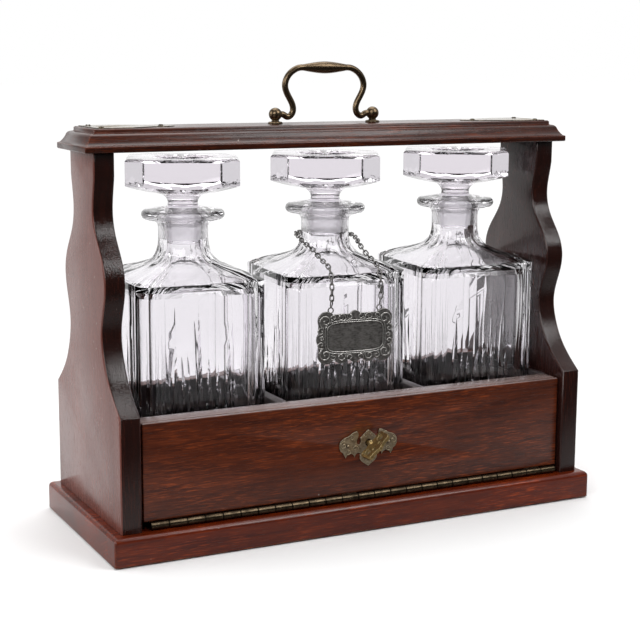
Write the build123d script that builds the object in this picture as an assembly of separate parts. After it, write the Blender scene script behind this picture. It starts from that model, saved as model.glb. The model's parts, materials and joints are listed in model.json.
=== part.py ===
from build123d import *
import math
import os

os.makedirs("parts", exist_ok=True)

# Tantalus: a mahogany stand with two wavy cheeks, a moulded top board with a
# bail handle, a drop front on a piano hinge, and three cut-glass decanters.
# Frame: origin under the middle of the plinth, front towards -Y, up is +Z, mm.

# ---- driving dimensions ----
felt_thickness = 1.0
plinth_length = 370.0
plinth_depth = 148.0
plinth_height = 19.1
plinth_edge_radius = 3.4

cheek_face_x = 178.0            # outer face of each cheek
cheek_thickness = 14.3
cheek_half_depth = 67.2
cheek_height = 242.7
cheek_shoulder = 76.6           # height of the square foot of a cheek
cheek_edge_radius = 0.9

board_length = 370.0
board_depth = 61.0
board_thickness = 15.0

box_height = 71.4               # top of front, back, dividers and rails
front_face_y = -63.7
front_thickness = 17.5
front_side_gap = 2.2
front_bottom_gap = 5.9
back_thickness = 12.7
divider_thickness = 7.7
rail_thickness = 5.0
well_gap = 0.5                  # between the front and what stands behind it
platform_top = 21.1             # above the plinth, under the baize
platform_thickness = 8.0
baize_thickness = 0.8

hinge_radius = 2.6
hinge_axis_rise = 3.0           # barrel centre above the plinth
hinge_forward = 1.0             # barrel centre in front of the front's face
knuckle_length = 12.7
knuckle_count = 25
knuckle_play = 0.1
leaf_thickness = 1.1
leaf_width = 12.5
pin_radius = 1.0
tab_setback = 1.2               # leaf's tabs meet the barrel this far behind its axis
leaf_screw_count = 6

decanter_half = 45.0
decanter_chamfer = 7.0
decanter_height = 132.7         # base to shoulder edge
decanter_y = 2.0
decanter_offset = 1.8           # all three stand a little right of centre
decanter_turn = -4.0
stopper_turns = (-21.2, -26.7, -31.7)
neck_radius = 17.0
lip_radius = 28.4
glass_wall = 4.6
glass_base = 11.0
plug_top_radius = 11.6
plug_bottom_radius = 10.4
plug_play = 0.06

key_height = 40.9               # keyhole centre above the plinth
key_x = 3.0
bar_half_length = 64.0
bar_height = 14.0
bar_thickness = 2.5

post_x = 38.2
ball_radius = 4.6
ball_rise = 6.6                 # ball centre above the board
grip_rise = 32.0                # grip centre above the ball centre
bail_radius = 2.2

# ---- heights and places worked out from them ----
plinth_top = felt_thickness + plinth_height
board_bottom = plinth_top + cheek_height
board_top = board_bottom + board_thickness
inner_x = cheek_face_x - cheek_thickness
box_top = plinth_top + box_height
front_back_y = front_face_y + front_thickness
front_bottom = plinth_top + front_bottom_gap
back_face_y = -front_face_y - back_thickness
platform_z = plinth_top + platform_top
decanter_base = platform_z + baize_thickness
shoulder_z = decanter_base + decanter_height
bay_width = (2 * inner_x - 2 * rail_thickness - 2 * divider_thickness) / 3
bay_pitch = bay_width + divider_thickness
divider_x = bay_pitch / 2
hinge_y = front_face_y - hinge_forward
hinge_z = plinth_top + hinge_axis_rise
key_z = plinth_top + key_height
ball_z = board_top + ball_rise
well_front_y = front_back_y + well_gap
well_depth = back_face_y - well_front_y
well_mid_y = (back_face_y + well_front_y) / 2
sides = {"left": -1, "right": 1}


def block(x0, x1, y0, y1, z0, z1):
    """Rectangular block between two corners."""
    size = (x1 - x0, y1 - y0, z1 - z0)
    return Pos((x0 + x1) / 2, (y0 + y1) / 2, (z0 + z1) / 2) * Box(*size)


def rod(x, y, z0, z1, radius):
    """Upright cylinder."""
    return Pos(x, y, (z0 + z1) / 2) * Cylinder(radius, z1 - z0)


def rod_x(x0, x1, y, z, radius):
    """Cylinder along X."""
    return Pos((x0 + x1) / 2, y, z) * Rot(0, 90, 0) * Cylinder(radius, x1 - x0)


def rod_y(x, y0, y1, z, radius):
    """Cylinder along Y."""
    return Pos(x, (y0 + y1) / 2, z) * Rot(90, 0, 0) * Cylinder(radius, y1 - y0)


def turned(points):
    """Solid of revolution about Z from (radius, height) points."""
    outline = Plane.XZ * make_face(Polyline(*points, close=True))
    return revolve(outline, Axis.Z)


def mirrored(shape):
    """The same shape on the other side of X = 0."""
    return mirror(shape, about=Plane.YZ)


def save(name, *shapes):
    """Write one sub-part, a group when it has several solids."""
    solids = [s for shape in shapes for s in shape.solids()]
    whole = solids[0] if len(solids) == 1 else Compound(children=solids)
    whole.label = name
    export_step(whole, "parts/" + name + ".step")
    print(name, len(solids), round(sum(s.volume for s in solids)))


# ---- wood screws ----
screw_head_rise = 0.7


def screw(length, radius, head_radius, head_depth, domed):
    """Slotted wood screw, head at the top, shank down to -length."""
    rise = screw_head_rise if domed else 0.0
    top = [(head_radius * 0.6, rise), (0, rise)] if domed else [(0, 0)]
    body = turned([(0, -length), (radius * 0.5, -length + 1.5), (radius, -length + 5),
                   (radius, -head_depth), (head_radius, 0)] + top)
    slot = block(-head_radius, head_radius, -0.35, 0.35, rise - 0.6, rise + 1)
    return body - slot


def screw_hole(length, radius, head_radius, head_depth):
    """The hole that such a screw fills."""
    return turned([(0, -length), (radius * 0.5, -length + 1.5), (radius, -length + 5),
                   (radius, -head_depth), (head_radius, 0), (head_radius, 30), (0, 30)])


cheek_screw = dict(length=38, radius=2.0, head_radius=4.2, head_depth=2.6)
cheek_screw_y = (-45.0, 0.0, 45.0)
cheek_screw_x = inner_x + cheek_thickness / 2
board_screw = dict(length=40, radius=2.0, head_radius=4.2, head_depth=2.6)
board_screw_y = (-7.0, 7.0)
plate_screw = dict(length=8, radius=1.0, head_radius=1.9, head_depth=0.9)
leaf_screw = dict(length=8, radius=0.9, head_radius=1.7, head_depth=1.0)
lock_screw = dict(length=6, radius=0.9, head_radius=1.6, head_depth=0.9)


def screw_places(side):
    """Where the cheek screws and the board screws stand, heads outwards."""
    x = side * cheek_screw_x
    low = [Pos(x, y, felt_thickness) * Rot(180, 0, 0) for y in cheek_screw_y]
    high = [Pos(x, y, board_top) for y in board_screw_y]
    return low, high


def cheek_holes(side):
    low, high = screw_places(side)
    cuts = [place * screw_hole(**cheek_screw) for place in low]
    return cuts + [place * screw_hole(**board_screw) for place in high]


# ---- plinth ----
def plinth():
    board = block(-plinth_length / 2, plinth_length / 2, -plinth_depth / 2, plinth_depth / 2,
                  felt_thickness, plinth_top)
    board = fillet(board.edges().filter_by(Axis.Z), 1.5)
    board = fillet(board.faces().sort_by(Axis.Z)[-1].edges(), plinth_edge_radius)
    for side in sides.values():
        board -= cheek_holes(side)
    for place in leaf_screw_places(plinth_top + leaf_thickness):
        board -= place * screw_hole(**leaf_screw)
    return board


def plinth_felt():
    inset = 4.0
    return block(-plinth_length / 2 + inset, plinth_length / 2 - inset,
                 -plinth_depth / 2 + inset, plinth_depth / 2 - inset, 0, felt_thickness)


# ---- cheeks ----
# half depth of a cheek against height above the plinth, from the shoulder up
wave_points = [(67.2, 76.6), (55.5, 85.5), (44.6, 96.5), (36.3, 111.5), (33.6, 126.0), (37.2, 139.5),
               (41.6, 152.0), (42.2, 161.0), (38.3, 172.0), (29.5, 183.5), (22.6, 194.0), (20.4, 205.0),
               (22.2, 216.5), (24.6, 227.0)]
cheek_top_half = 24.8


def cheek(side):
    wave = [(y, plinth_top + z) for y, z in wave_points]
    top = [(cheek_top_half, plinth_top + cheek_height)]
    foot = [(cheek_half_depth, plinth_top)]
    right_edge = [Line(foot[0], wave[0]), Spline(*wave), Line(wave[-1], top[0])]
    half_edges = Curve() + right_edge
    left_edges = mirror(half_edges, about=Plane.YZ)
    base = Line((-cheek_half_depth, plinth_top), foot[0])
    lid = Line((-cheek_top_half, plinth_top + cheek_height), top[0])
    face = make_face(half_edges.edges() + left_edges.edges() + [base, lid])
    slab = extrude(Plane.YZ * face, cheek_thickness)
    slab = Pos(inner_x, 0, 0) * slab
    slab = chamfer(slab.faces().filter_by(Axis.X).edges().filter_by(lambda e: e.center().Z > plinth_top + 1
                   and e.center().Z < board_bottom - 1), cheek_edge_radius)
    if side < 0:
        slab = mirrored(slab)
    return slab - cheek_holes(side)


# ---- moulded top board ----
# edge moulding as (inset, height above the underside): fillet, ovolo, fillet
mould_start = [(0.5, 0.0), (0.0, 0.5), (0.0, 3.9), (1.6, 4.6)]
mould_hollow = [(1.6, 4.6), (3.2, 6.6), (4.6, 9.2)]
mould_round = [(4.6, 9.2), (5.6, 11.0), (7.6, 11.9)]
mould_end = [(7.6, 11.9), (8.6, 12.1), (8.9, 12.6), (8.9, 14.2), (9.7, 15.0)]


def moulded_slab(half_width, length):
    """Slab along Z whose two long edges carry the moulding; section in XY."""
    def at(points):
        return [(half_width - inset, rise) for inset, rise in points]
    edge = [Polyline(*at(mould_start)), ThreePointArc(*at(mould_hollow)),
            ThreePointArc(*at(mould_round)), Polyline(*at(mould_end))]
    curves = Curve() + edge
    other = mirror(curves, about=Plane.YZ)
    low = half_width - mould_start[0][0]
    high = half_width - mould_end[-1][0]
    rims = [Line((-low, 0), (low, 0)), Line((-high, board_thickness), (high, board_thickness))]
    face = make_face(curves.edges() + other.edges() + rims)
    return extrude(face, length / 2, both=True)


def nut_recess(side):
    return rod(side * post_x, 0, board_bottom - 1, board_bottom + nut_recess_depth, washer_radius + 0.3)


def top_board():
    along = Plane.YZ * moulded_slab(board_depth / 2, board_length + 2)
    across = Plane.XZ * moulded_slab(board_length / 2, board_depth + 2)
    board = Pos(0, 0, board_bottom) * (along & across)
    for side in sides.values():
        board -= cheek_holes(side)
        board -= rod(side * post_x, 0, board_bottom - 1, board_top + 1, stud_radius)
        board -= nut_recess(side)
        for place in plate_screw_places(side):
            board -= place * screw_hole(**plate_screw)
    return board


# ---- brass plates on the board ----
plate_thickness = 0.55
plate_end_x = board_length / 2 - 11.5
plate_tip_x = 112.5
plate_half = 19.0


def plate_screw_places(side):
    z = board_top + plate_thickness
    spots = [(plate_end_x - 5, -14.0), (plate_end_x - 5, 14.0), (plate_tip_x + 10, 0.0)]
    return [Pos(side * x, y, z) * Rot(0, 0, 35 * (i + 1)) for i, (x, y) in enumerate(spots)]


def top_plate(side):
    waist_x = plate_end_x - 24
    knee_x = plate_tip_x + 16
    upper = [Line((plate_end_x, 0), (plate_end_x, plate_half)),
             Line((plate_end_x, plate_half), (waist_x, plate_half)),
             ThreePointArc((waist_x, plate_half), (waist_x - 9, plate_half - 3.5), (knee_x, 9.5)),
             ThreePointArc((knee_x, 9.5), (plate_tip_x + 5, 7.5), (plate_tip_x, 0))]
    half = Curve() + upper
    other = mirror(half, about=Plane.XZ)
    plate = extrude(make_face(half.edges() + other.edges()), plate_thickness)
    plate = Pos(0, 0, board_top) * plate
    if side < 0:
        plate = mirrored(plate)
    for place in plate_screw_places(side):
        plate -= place * screw_hole(**plate_screw)
    return plate


# ---- box of the stand ----
def back_panel():
    panel = block(-inner_x, inner_x, back_face_y, -front_face_y, plinth_top, box_top)
    return fillet(panel.faces().sort_by(Axis.Z)[-1].edges().filter_by(Axis.X), 1.0)


def divider(side):
    x = side * divider_x
    half = divider_thickness / 2
    wall = block(x - half, x + half, well_front_y, back_face_y, platform_z, box_top)
    return wall - rod_y(x, well_front_y - 1, well_front_y + stud_depth, key_z, keeper_neck)


def side_rail(side):
    rail = block(inner_x - rail_thickness, inner_x, well_front_y, back_face_y, platform_z, box_top)
    return rail if side > 0 else mirrored(rail)


def platform():
    return block(-inner_x, inner_x, well_front_y, back_face_y, platform_z - platform_thickness, platform_z)


bearer_width = 12.0


def platform_bearers():
    places = (-inner_x + bearer_width / 2, -divider_x, divider_x, inner_x - bearer_width / 2)
    first_y = hinge_y + leaf_width + 12
    return [block(x - bearer_width / 2, x + bearer_width / 2, first_y, back_face_y,
                  plinth_top, platform_z - platform_thickness) for x in places]


def well_baize():
    cloths = []
    for i in (-1, 0, 1):
        half = bay_width / 2 - 0.5
        cloths.append(block(i * bay_pitch - half, i * bay_pitch + half, well_front_y + 1,
                            back_face_y - 0.5, platform_z, decanter_base))
    return cloths


# ---- drop front ----
front_half = inner_x - front_side_gap
bead_width = 3.0
quirk = 0.9


def drop_front():
    board = block(-front_half, front_half, front_face_y, front_back_y, front_bottom, box_top)
    front_top = board.edges().filter_by(Axis.X).sort_by(Axis.Z)[-2:].sort_by(Axis.Y)[0]
    board = fillet(front_top, 1.0)
    board -= block(-front_half - 1, front_half + 1, front_face_y + bead_width,
                   front_face_y + bead_width + quirk, box_top - quirk, box_top + 1)
    board -= bar_groove()
    board -= lock_mortise()
    board -= rod_y(key_x, front_face_y - 1, front_back_y, key_z, keyhole_radius + 0.6)
    board -= block(key_x - 1.9, key_x + 1.9, front_face_y - 1, front_back_y,
                   key_z - keyhole_drop - 0.6, key_z)
    for place in leaf_screw_places(front_bottom - leaf_thickness, flip=True):
        board -= place * screw_hole(**leaf_screw)
    for place in lock_screw_places():
        board -= place * screw_hole(**lock_screw)
    for place in escutcheon_pin_places():
        board -= place * Cylinder(pin_shank, 2 * pin_depth)
    return board


# ---- piano hinge ----
hinge_start = -knuckle_count * knuckle_length / 2 + 1.0


def leaf_screw_places(z, flip=False):
    """Screws along a leaf, heads up on the plinth, heads down under the front."""
    y = hinge_y + leaf_width - 4.0
    span = knuckle_count * knuckle_length
    step = span / leaf_screw_count
    turn = Rot(180, 0, 0) if flip else Rot(0, 0, 0)
    shift = 0.5 if flip else 0.25
    return [Pos(hinge_start + step * (i + shift), y, z) * turn for i in range(leaf_screw_count)]


def knuckle_span(i):
    start = hinge_start + i * knuckle_length
    return start + knuckle_play / 2, start + knuckle_length - knuckle_play / 2


def leaf(first, low_z, flip):
    """A leaf behind the barrel with every second knuckle rolled on it."""
    clear_y = hinge_y + hinge_radius + 0.4
    end_x = hinge_start + knuckle_count * knuckle_length
    plate = block(hinge_start, end_x, clear_y, hinge_y + leaf_width, low_z, low_z + leaf_thickness)
    for i in range(first, knuckle_count, 2):
        x0, x1 = knuckle_span(i)
        plate += block(x0, x1, hinge_y + tab_setback, clear_y + 0.5, low_z, low_z + leaf_thickness)
        plate += rod_x(x0, x1, hinge_y, hinge_z, hinge_radius)
    plate -= rod_x(hinge_start - 1, end_x + 1, hinge_y, hinge_z, pin_radius + 0.05)
    head_z = low_z if flip else low_z + leaf_thickness
    for place in leaf_screw_places(head_z, flip):
        plate -= place * screw_hole(**leaf_screw)
    return plate


def hinge_pin():
    end_x = hinge_start + knuckle_count * knuckle_length
    return rod_x(hinge_start, end_x, hinge_y, hinge_z, pin_radius)


# ---- lock, key and locking bar ----
keyhole_radius = 2.6
keyhole_drop = 7.4
case_half_width = 21.0
case_half_height = 14.0
case_depth = 8.5
case_wall = 1.2
bar_gap = 0.3
bar_travel = 5.0
stud_depth = 9.0
keeper_neck = 1.5
keeper_head = 2.5
keeper_head_front = 3.7         # front of the stud's neck, from the front's back face
keeper_head_thickness = 1.5
bar_back_y = front_back_y - bar_gap
bar_front_y = bar_back_y - bar_thickness
case_back_y = bar_front_y - bar_gap
case_front_y = case_back_y - case_depth


def bar_groove():
    """Groove for the bar's slide, with pockets for the stud heads."""
    half = bar_half_length + bar_travel
    groove = block(-half, half, case_back_y, front_back_y + 1,
                   key_z - bar_height / 2 - 0.3, key_z + bar_height / 2 + 0.3)
    for side in sides.values():
        x = side * divider_x
        groove += block(x - 4.2, x + 4.2, front_back_y - 6.4, front_back_y + 1, key_z - 6.3, key_z + 4.0)
    return groove


def lock_mortise():
    return block(key_x - case_half_width, key_x + case_half_width, case_front_y, front_back_y + 1,
                 key_z - case_half_height, key_z + case_half_height)


def lock_screw_places():
    """Two screws at the corners of the case above the bar, two below it."""
    return [Pos(key_x + sx * (case_half_width - 3.5), case_back_y, key_z + sz * (case_half_height - 3.0))
            * Rot(-90, 0, 0) for sx in (-1, 1) for sz in (-1, 1)]


def lock_case():
    """Hollow brass box with the keyhole in its front and a window for the bar's stump."""
    outer = block(key_x - case_half_width, key_x + case_half_width, case_front_y, case_back_y,
                  key_z - case_half_height, key_z + case_half_height)
    room = block(key_x - 13.5, key_x + 13.5, case_front_y + case_wall, case_back_y - case_wall,
                 key_z - 9.5, key_z + 9.5)
    window = block(key_x - 8.0, key_x + 8.0, case_back_y - 3, case_back_y + 1, key_z - 5.2, key_z + 5.2)
    shell = outer - room - window
    shell -= rod_y(key_x, case_front_y - 1, case_front_y + 3, key_z, keyhole_radius)
    shell -= block(key_x - 1.3, key_x + 1.3, case_front_y - 1, case_front_y + 3, key_z - keyhole_drop, key_z)
    for place in lock_screw_places():
        shell -= place * screw_hole(**lock_screw)
    return shell


def lock_bar():
    """Sliding bar; each end has a tall hole that clears a stud head and a slot that holds it."""
    bar = block(-bar_half_length, bar_half_length, bar_front_y, bar_back_y,
                key_z - bar_height / 2, key_z + bar_height / 2)
    bar = fillet(bar.edges().filter_by(Axis.Y), 2.0)
    for side in sides.values():
        x = side * divider_x
        bar -= block(x - 3.2, x + 4.6, bar_front_y - 1, bar_back_y + 1, key_z - 5.6, key_z + 3.2)
        bar -= block(x - 6.6, x, bar_front_y - 1, bar_back_y + 1, key_z - 1.8, key_z + 1.8)
    return bar


def keeper_stud(side):
    """Headed stud screwed into the front end of a divider."""
    x = side * divider_x
    neck_end = front_back_y - keeper_head_front
    stud = rod_y(x, neck_end, well_front_y + stud_depth, key_z, keeper_neck)
    return stud + rod_y(x, neck_end - keeper_head_thickness, neck_end, key_z, keeper_head)


shank_radius = 1.7
bow_length = 13.0
bow_width = 22.0
bow_thickness = 2.4
shank_front = 4.0               # shank seen in front of the escutcheon


def key():
    """Lever key: bow plate pierced with scrolls, collar, shank and bit, along Y at the lock."""
    face_y = front_face_y - escutcheon_thickness
    bow_mid = face_y - shank_front - bow_length / 2
    tail = case_front_y + case_wall + 3.6
    shape = rod_y(key_x, bow_mid + bow_length * 0.3, tail, key_z, shank_radius)
    shape += rod_y(key_x, face_y - 4.4, face_y - 2.9, key_z, 2.5)
    shape += block(key_x - 0.8, key_x + 0.8, tail - 3.0, tail - 0.2, key_z - 6.6, key_z)
    bow = Ellipse(bow_width / 2, bow_length / 2)
    for side in (-1, 1):
        bow += Pos(side * bow_width * 0.36, bow_length * 0.26) * Circle(3.4)
        bow += Pos(side * bow_width * 0.36, -bow_length * 0.22) * Circle(3.2)
    bow += Pos(0, -bow_length * 0.42) * Circle(2.0)
    for side in (-1, 1):
        bow -= Pos(side * bow_width * 0.3, bow_length * 0.08) * Ellipse(2.9, 2.6)
        bow -= Pos(side * bow_width * 0.13, -bow_length * 0.25) * Circle(1.5)
        bow -= Pos(side * bow_width * 0.4, bow_length * 0.32) * Circle(1.0)
    plate = extrude(bow, bow_thickness / 2, both=True)
    shape += Pos(key_x, bow_mid, key_z) * plate
    return Pos(key_x, 0, key_z) * Rot(0, -45, 0) * Pos(-key_x, 0, -key_z) * shape


# ---- escutcheon ----
escutcheon_thickness = 1.2
pin_shank = 0.6
pin_depth = 4.0
# right half outline from top to bottom, (x, z) from the keyhole centre
crest = [(0.0, 9.0), (2.8, 7.0), (5.0, 5.0), (6.3, 3.3)]
notch = [(6.3, 3.3), (6.0, 0.9), (7.6, -0.9), (9.2, 0.9), (8.4, 4.4), (9.0, 8.6)]
wing = [(9.0, 8.6), (12.6, 7.6), (15.6, 5.8), (18.6, 4.8), (21.4, 2.8), (22.5, -1.0), (19.6, -5.6)]
lobe_one = [(19.6, -5.6), (18.6, -7.6), (17.6, -9.4)]
lobe_two = [(17.6, -9.4), (14.2, -6.6), (10.6, -9.6)]
lobe_three = [(10.6, -9.6), (8.6, -6.6), (5.8, -7.6)]
tail_edge = [(5.8, -7.6), (6.4, -11.0), (3.8, -14.0), (0.0, -16.6)]


def escutcheon_pin_places():
    return [Pos(key_x + side * 16.0, front_face_y, key_z - 1.0) * Rot(90, 0, 0) for side in (-1, 1)]


def escutcheon():
    edges = [Spline(*crest), Spline(*notch), Spline(*wing), ThreePointArc(*lobe_one),
             ThreePointArc(*lobe_two), ThreePointArc(*lobe_three), Spline(*tail_edge)]
    right = Curve() + edges
    left = mirror(right, about=Plane.YZ)
    face = make_face(right.edges() + left.edges())
    face -= Circle(keyhole_radius) + Pos(0, -keyhole_drop / 2) * Rectangle(2.6, keyhole_drop)
    plate = extrude(Plane.XZ * face, escutcheon_thickness)
    plate = Pos(key_x, front_face_y, key_z) * plate
    for place in escutcheon_pin_places():
        plate -= place * Cylinder(pin_shank, 2 * pin_depth)
    return plate


def escutcheon_pins():
    pins = []
    for place in escutcheon_pin_places():
        pin = Pos(0, 0, -pin_depth / 2 + escutcheon_thickness / 2) * Cylinder(
            pin_shank, pin_depth + escutcheon_thickness)
        head = Pos(0, 0, escutcheon_thickness) * (Sphere(1.2) & Pos(0, 0, 1) * Box(4, 4, 2))
        pins.append(place * (pin + head))
    return pins


# ---- handle ----
stud_radius = 1.8
washer_radius = 5.0
nut_radius = 3.6
nut_recess_depth = 4.4
washer_thickness = 0.8
nut_height = 2.6
socket_depth = 2.6              # how far the bail goes past a ball's centre


def handle_post(side):
    """Turned post: threaded stud, round foot, narrow neck and a drilled ball."""
    foot = [(0, 0), (5.1, 0), (5.1, 1.0), (4.6, 1.5), (2.9, 1.7), (2.6, 2.1), (2.6, 3.4), (0, 3.4)]
    foot = [(r, board_top + z) for r, z in foot]
    post = turned(foot)
    post += rod(0, 0, board_bottom + 0.6, board_top + 1, stud_radius)
    post += Pos(0, 0, ball_z) * Sphere(ball_radius)
    post = Pos(side * post_x, 0, 0) * post
    inner = side * (post_x + socket_depth)
    bore = rod_x(min(0, inner), max(0, inner), 0, ball_z, bail_radius + 0.06)
    return post - bore


def handle_nuts():
    """Washer and hexagon nut on each post, sunk in the board's underside."""
    pieces = []
    for side in sides.values():
        top = board_bottom + nut_recess_depth
        washer = rod(side * post_x, 0, top - washer_thickness, top, washer_radius)
        nut = extrude(RegularPolygon(nut_radius, 6), nut_height)
        nut = Pos(side * post_x, 0, top - washer_thickness - nut_height) * nut
        stud = rod(side * post_x, 0, board_bottom, board_top, stud_radius)
        pieces += [washer - stud, nut - stud]
    return pieces


# centre line of half the bail from the socket to the grip, (x, z) from the ball's centre
bail_start = 33.2
bail_bends = [(29.2, -1.8), (25.4, 0.5), (24.8, 5.2), (28.3, 12.4), (30.8, 19.6), (28.8, 25.8), (24.0, 30.2)]
bail_level = 18.0               # the leg runs level from here
bail_inside = 6.0               # and ends inside the grip
grip_half = 20.0
grip_swell = [(-grip_half, 1.7), (-10.0, 3.3), (0, 4.2), (10.0, 3.3), (grip_half, 1.7)]


def handle_bail():
    """Swan-neck bail, its straight ends in the balls' sockets, swelling into a grip."""
    end_x = post_x + socket_depth - 0.3
    curve = Spline((bail_start, 0), *bail_bends, (bail_level, grip_rise),
                   tangents=[(-1, 0), (-1, 0)], tangent_scalars=[1, 1])
    socket = Line((end_x, 0), (bail_start, 0))
    level = Line((bail_level, grip_rise), (bail_inside, grip_rise))
    wire = Plane.XZ * Wire([socket, curve, level])
    section = Plane(origin=wire @ 0, z_dir=wire % 0) * Circle(bail_radius)
    leg = sweep(section, path=wire)
    edges = [Spline(*grip_swell), Line(grip_swell[-1], (grip_half, 0)), Line((grip_half, 0), (-grip_half, 0)),
             Line((-grip_half, 0), grip_swell[0])]
    grip = revolve(make_face(edges), Axis.X)
    bail = Pos(0, 0, grip_rise) * grip + leg + mirrored(leg)
    return Pos(0, 0, ball_z) * bail


# ---- decanters ----
# shoulder as (half width, height above the shoulder edge)
shoulder_points = [(43.2, 2.0), (37.5, 5.2), (30.0, 8.0), (24.0, 11.0), (19.5, 15.8), (17.0, 26.0)]
neck_foot = 26.0
lip_low = 40.2                  # underside of the lip's rim above the shoulder edge
lip_high = 46.6
throat_top = 49.6


def tent(half, points, top):
    """Prism with a hollow-curved roof, rising from rounded eaves to a ridge of the neck's width."""
    x_eave, z_eave = points[0]
    eave = ThreePointArc((half, 0), (half - 0.3 * (half - x_eave), z_eave * 0.72), (x_eave, z_eave))
    x_top, z_top = points[-1]
    roof = Spline(*points, tangents=[(-1, 0.42), (0, 1)])
    right = Curve() + [Line((half, -decanter_height), (half, 0)), eave, roof, Line((x_top, z_top), (x_top, top))]
    left = mirror(right, about=Plane.YZ)
    caps = [Line((x_top, top), (-x_top, top)), Line((-half, -decanter_height), (half, -decanter_height))]
    face = make_face(right.edges() + left.edges() + caps)
    return extrude(Plane.XZ * face, half + 1, both=True)


def round_tent(points, top):
    """Round version of the roof that turns the square shoulder into a round neck."""
    spread = [(1.0 + 0.5 * min(1.0, max(0.0, (w - 17.0) / 16.0))) * w for w, _ in points]
    route = [(r, z) for r, (_, z) in zip(spread, points)]
    route = [(70.0, -3.0)] + route
    edge = Curve() + [Spline(*route)]
    r_top, z_top = route[-1]
    lines = [Line((r_top, z_top), (r_top, top)), Line((r_top, top), (0, top)),
             Line((0, top), (0, -decanter_height)), Line((0, -decanter_height), (70.0, -decanter_height)),
             Line((70.0, -decanter_height), (70.0, -3.0))]
    return revolve(Plane.XZ * make_face(edge.edges() + lines), Axis.Z)


def chamfered_prism(half, cut, low, high):
    prism = Pos(0, 0, (low + high) / 2) * Box(2 * half, 2 * half, high - low)
    return chamfer(prism.edges().filter_by(Axis.Z), cut)


def glass_body():
    top = neck_foot + 10
    roof = tent(decanter_half, shoulder_points, top)
    body = roof & (Rot(0, 0, 90) * roof) & round_tent(shoulder_points, top)
    body &= chamfered_prism(decanter_half, decanter_chamfer, -decanter_height, top)
    return body


def glass_neck():
    """Neck above the shoulder with a thick rounded lip."""
    low = neck_foot - 2
    mid = (lip_low + lip_high) / 2
    rim = (lip_high - lip_low) / 2
    points = [Line((0, low), (neck_radius, low)), Line((neck_radius, low), (neck_radius, lip_low - 5.5)),
              ThreePointArc((neck_radius, lip_low - 5.5), (neck_radius + 2.0, lip_low - 1.6),
                            (lip_radius - rim - 4, lip_low)),
              Line((lip_radius - rim - 4, lip_low), (lip_radius - rim, lip_low)),
              ThreePointArc((lip_radius - rim, lip_low), (lip_radius, mid), (lip_radius - rim, lip_high)),
              Line((lip_radius - rim, lip_high), (14.0, throat_top - 1.6)),
              Line((14.0, throat_top - 1.6), (0, throat_top - 1.6)),
              Line((0, throat_top - 1.6), (0, low))]
    return revolve(Plane.XZ * make_face(points), Axis.Z)


inner_points = [(38.4, 2.4), (32.0, 5.2), (24.8, 8.0), (18.4, 11.6), (13.6, 17.0), (10.6, 26.0)]
inner_drop = 5.0
plug_bottom = 23.3
plug_top = throat_top - 1.6


def bore_radius(z):
    """Radius of the ground taper at a height above the shoulder edge."""
    share = (z - plug_bottom) / (plug_top - plug_bottom)
    return plug_bottom_radius + share * (plug_top_radius - plug_bottom_radius)


def glass_hollow():
    """Inside of a decanter: rounded square well, domed shoulder and ground neck."""
    half = decanter_half - glass_wall
    low = -decanter_height + glass_base
    well = Pos(0, 0, (low - 6) / 2) * Box(2 * half, 2 * half, -6 - low)
    well = fillet(well.edges().filter_by(Axis.Z), 12.0)
    well = fillet(well.faces().sort_by(Axis.Z)[0].edges(), 5.0)
    roof = Pos(0, 0, -inner_drop) * tent(half, inner_points, 30.0)
    dome = roof & (Rot(0, 0, 90) * roof)
    dome &= fillet((Pos(0, 0, 8) * Box(2 * half, 2 * half, 30)).edges().filter_by(Axis.Z), 12.0)
    low_r = bore_radius(plug_bottom - 1)
    neck = turned([(0, 12), (low_r, 12), (low_r, plug_bottom - 1),
                   (bore_radius(plug_top + 3), plug_top + 3), (0, plug_top + 3)])
    return [well, dome, neck]


def flute(x, radius, depth):
    """Upright hollow flute in the front face, full height."""
    y = -decanter_half - radius + depth
    return Pos(x, y, -decanter_height / 2) * Cylinder(radius, decanter_height + 20)


def flame(x, height, width, depth):
    """V cut in the front face, deepest at the base and running out to a point above."""
    foot = -decanter_height
    slope = depth / height
    low = foot - 4.0
    reach = depth + slope * 4.0
    spread = width / 2 * reach / depth
    corners = [(x - spread, -decanter_half, low), (x + spread, -decanter_half, low),
               (x, -decanter_half + reach, low), (x, -decanter_half, foot + height)]
    a, b, c, tip = [Vector(*corner) for corner in corners]
    faces = [Face(Wire.make_polygon(loop)) for loop in ((a, b, c), (a, tip, b), (b, tip, c), (c, tip, a))]
    return Solid(Shell(faces))


flute_spots = (-35.0, -28.6, 28.6, 35.0)
flame_spots = [(-23.4, 62.0), (-16.6, 46.0), (-9.9, 70.0), (-3.3, 50.0), (3.3, 64.0), (9.9, 44.0),
               (16.6, 68.0), (23.4, 52.0)]
flame_width = 6.4
flame_depth = 1.5


def star(radius, depth, count, z, up):
    """Radiating V cuts in a flat face: deepest half way out, gone at the centre and the rim."""
    cuts = []
    for i in range(count):
        half = radius * math.sin(math.pi / count) * 0.42
        sign = 1 if up else -1
        tips = [(1.5, 0), (radius, 0)]
        flanks = [(radius * 0.62, half), (radius * 0.62, -half)]
        p, q = [Vector(x, y, z) for x, y in tips]
        m, n = [Vector(x, y, z) for x, y in flanks]
        deep = Vector(radius * 0.62, 0, z - sign * depth)
        loops = ((p, m, q), (p, q, n), (p, deep, m), (m, deep, q), (q, deep, n), (n, deep, p))
        solid = Solid(Shell([Face(Wire.make_polygon(loop)) for loop in loops]))
        cuts.append(Rot(0, 0, i * 360 / count) * solid)
    return cuts


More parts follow.
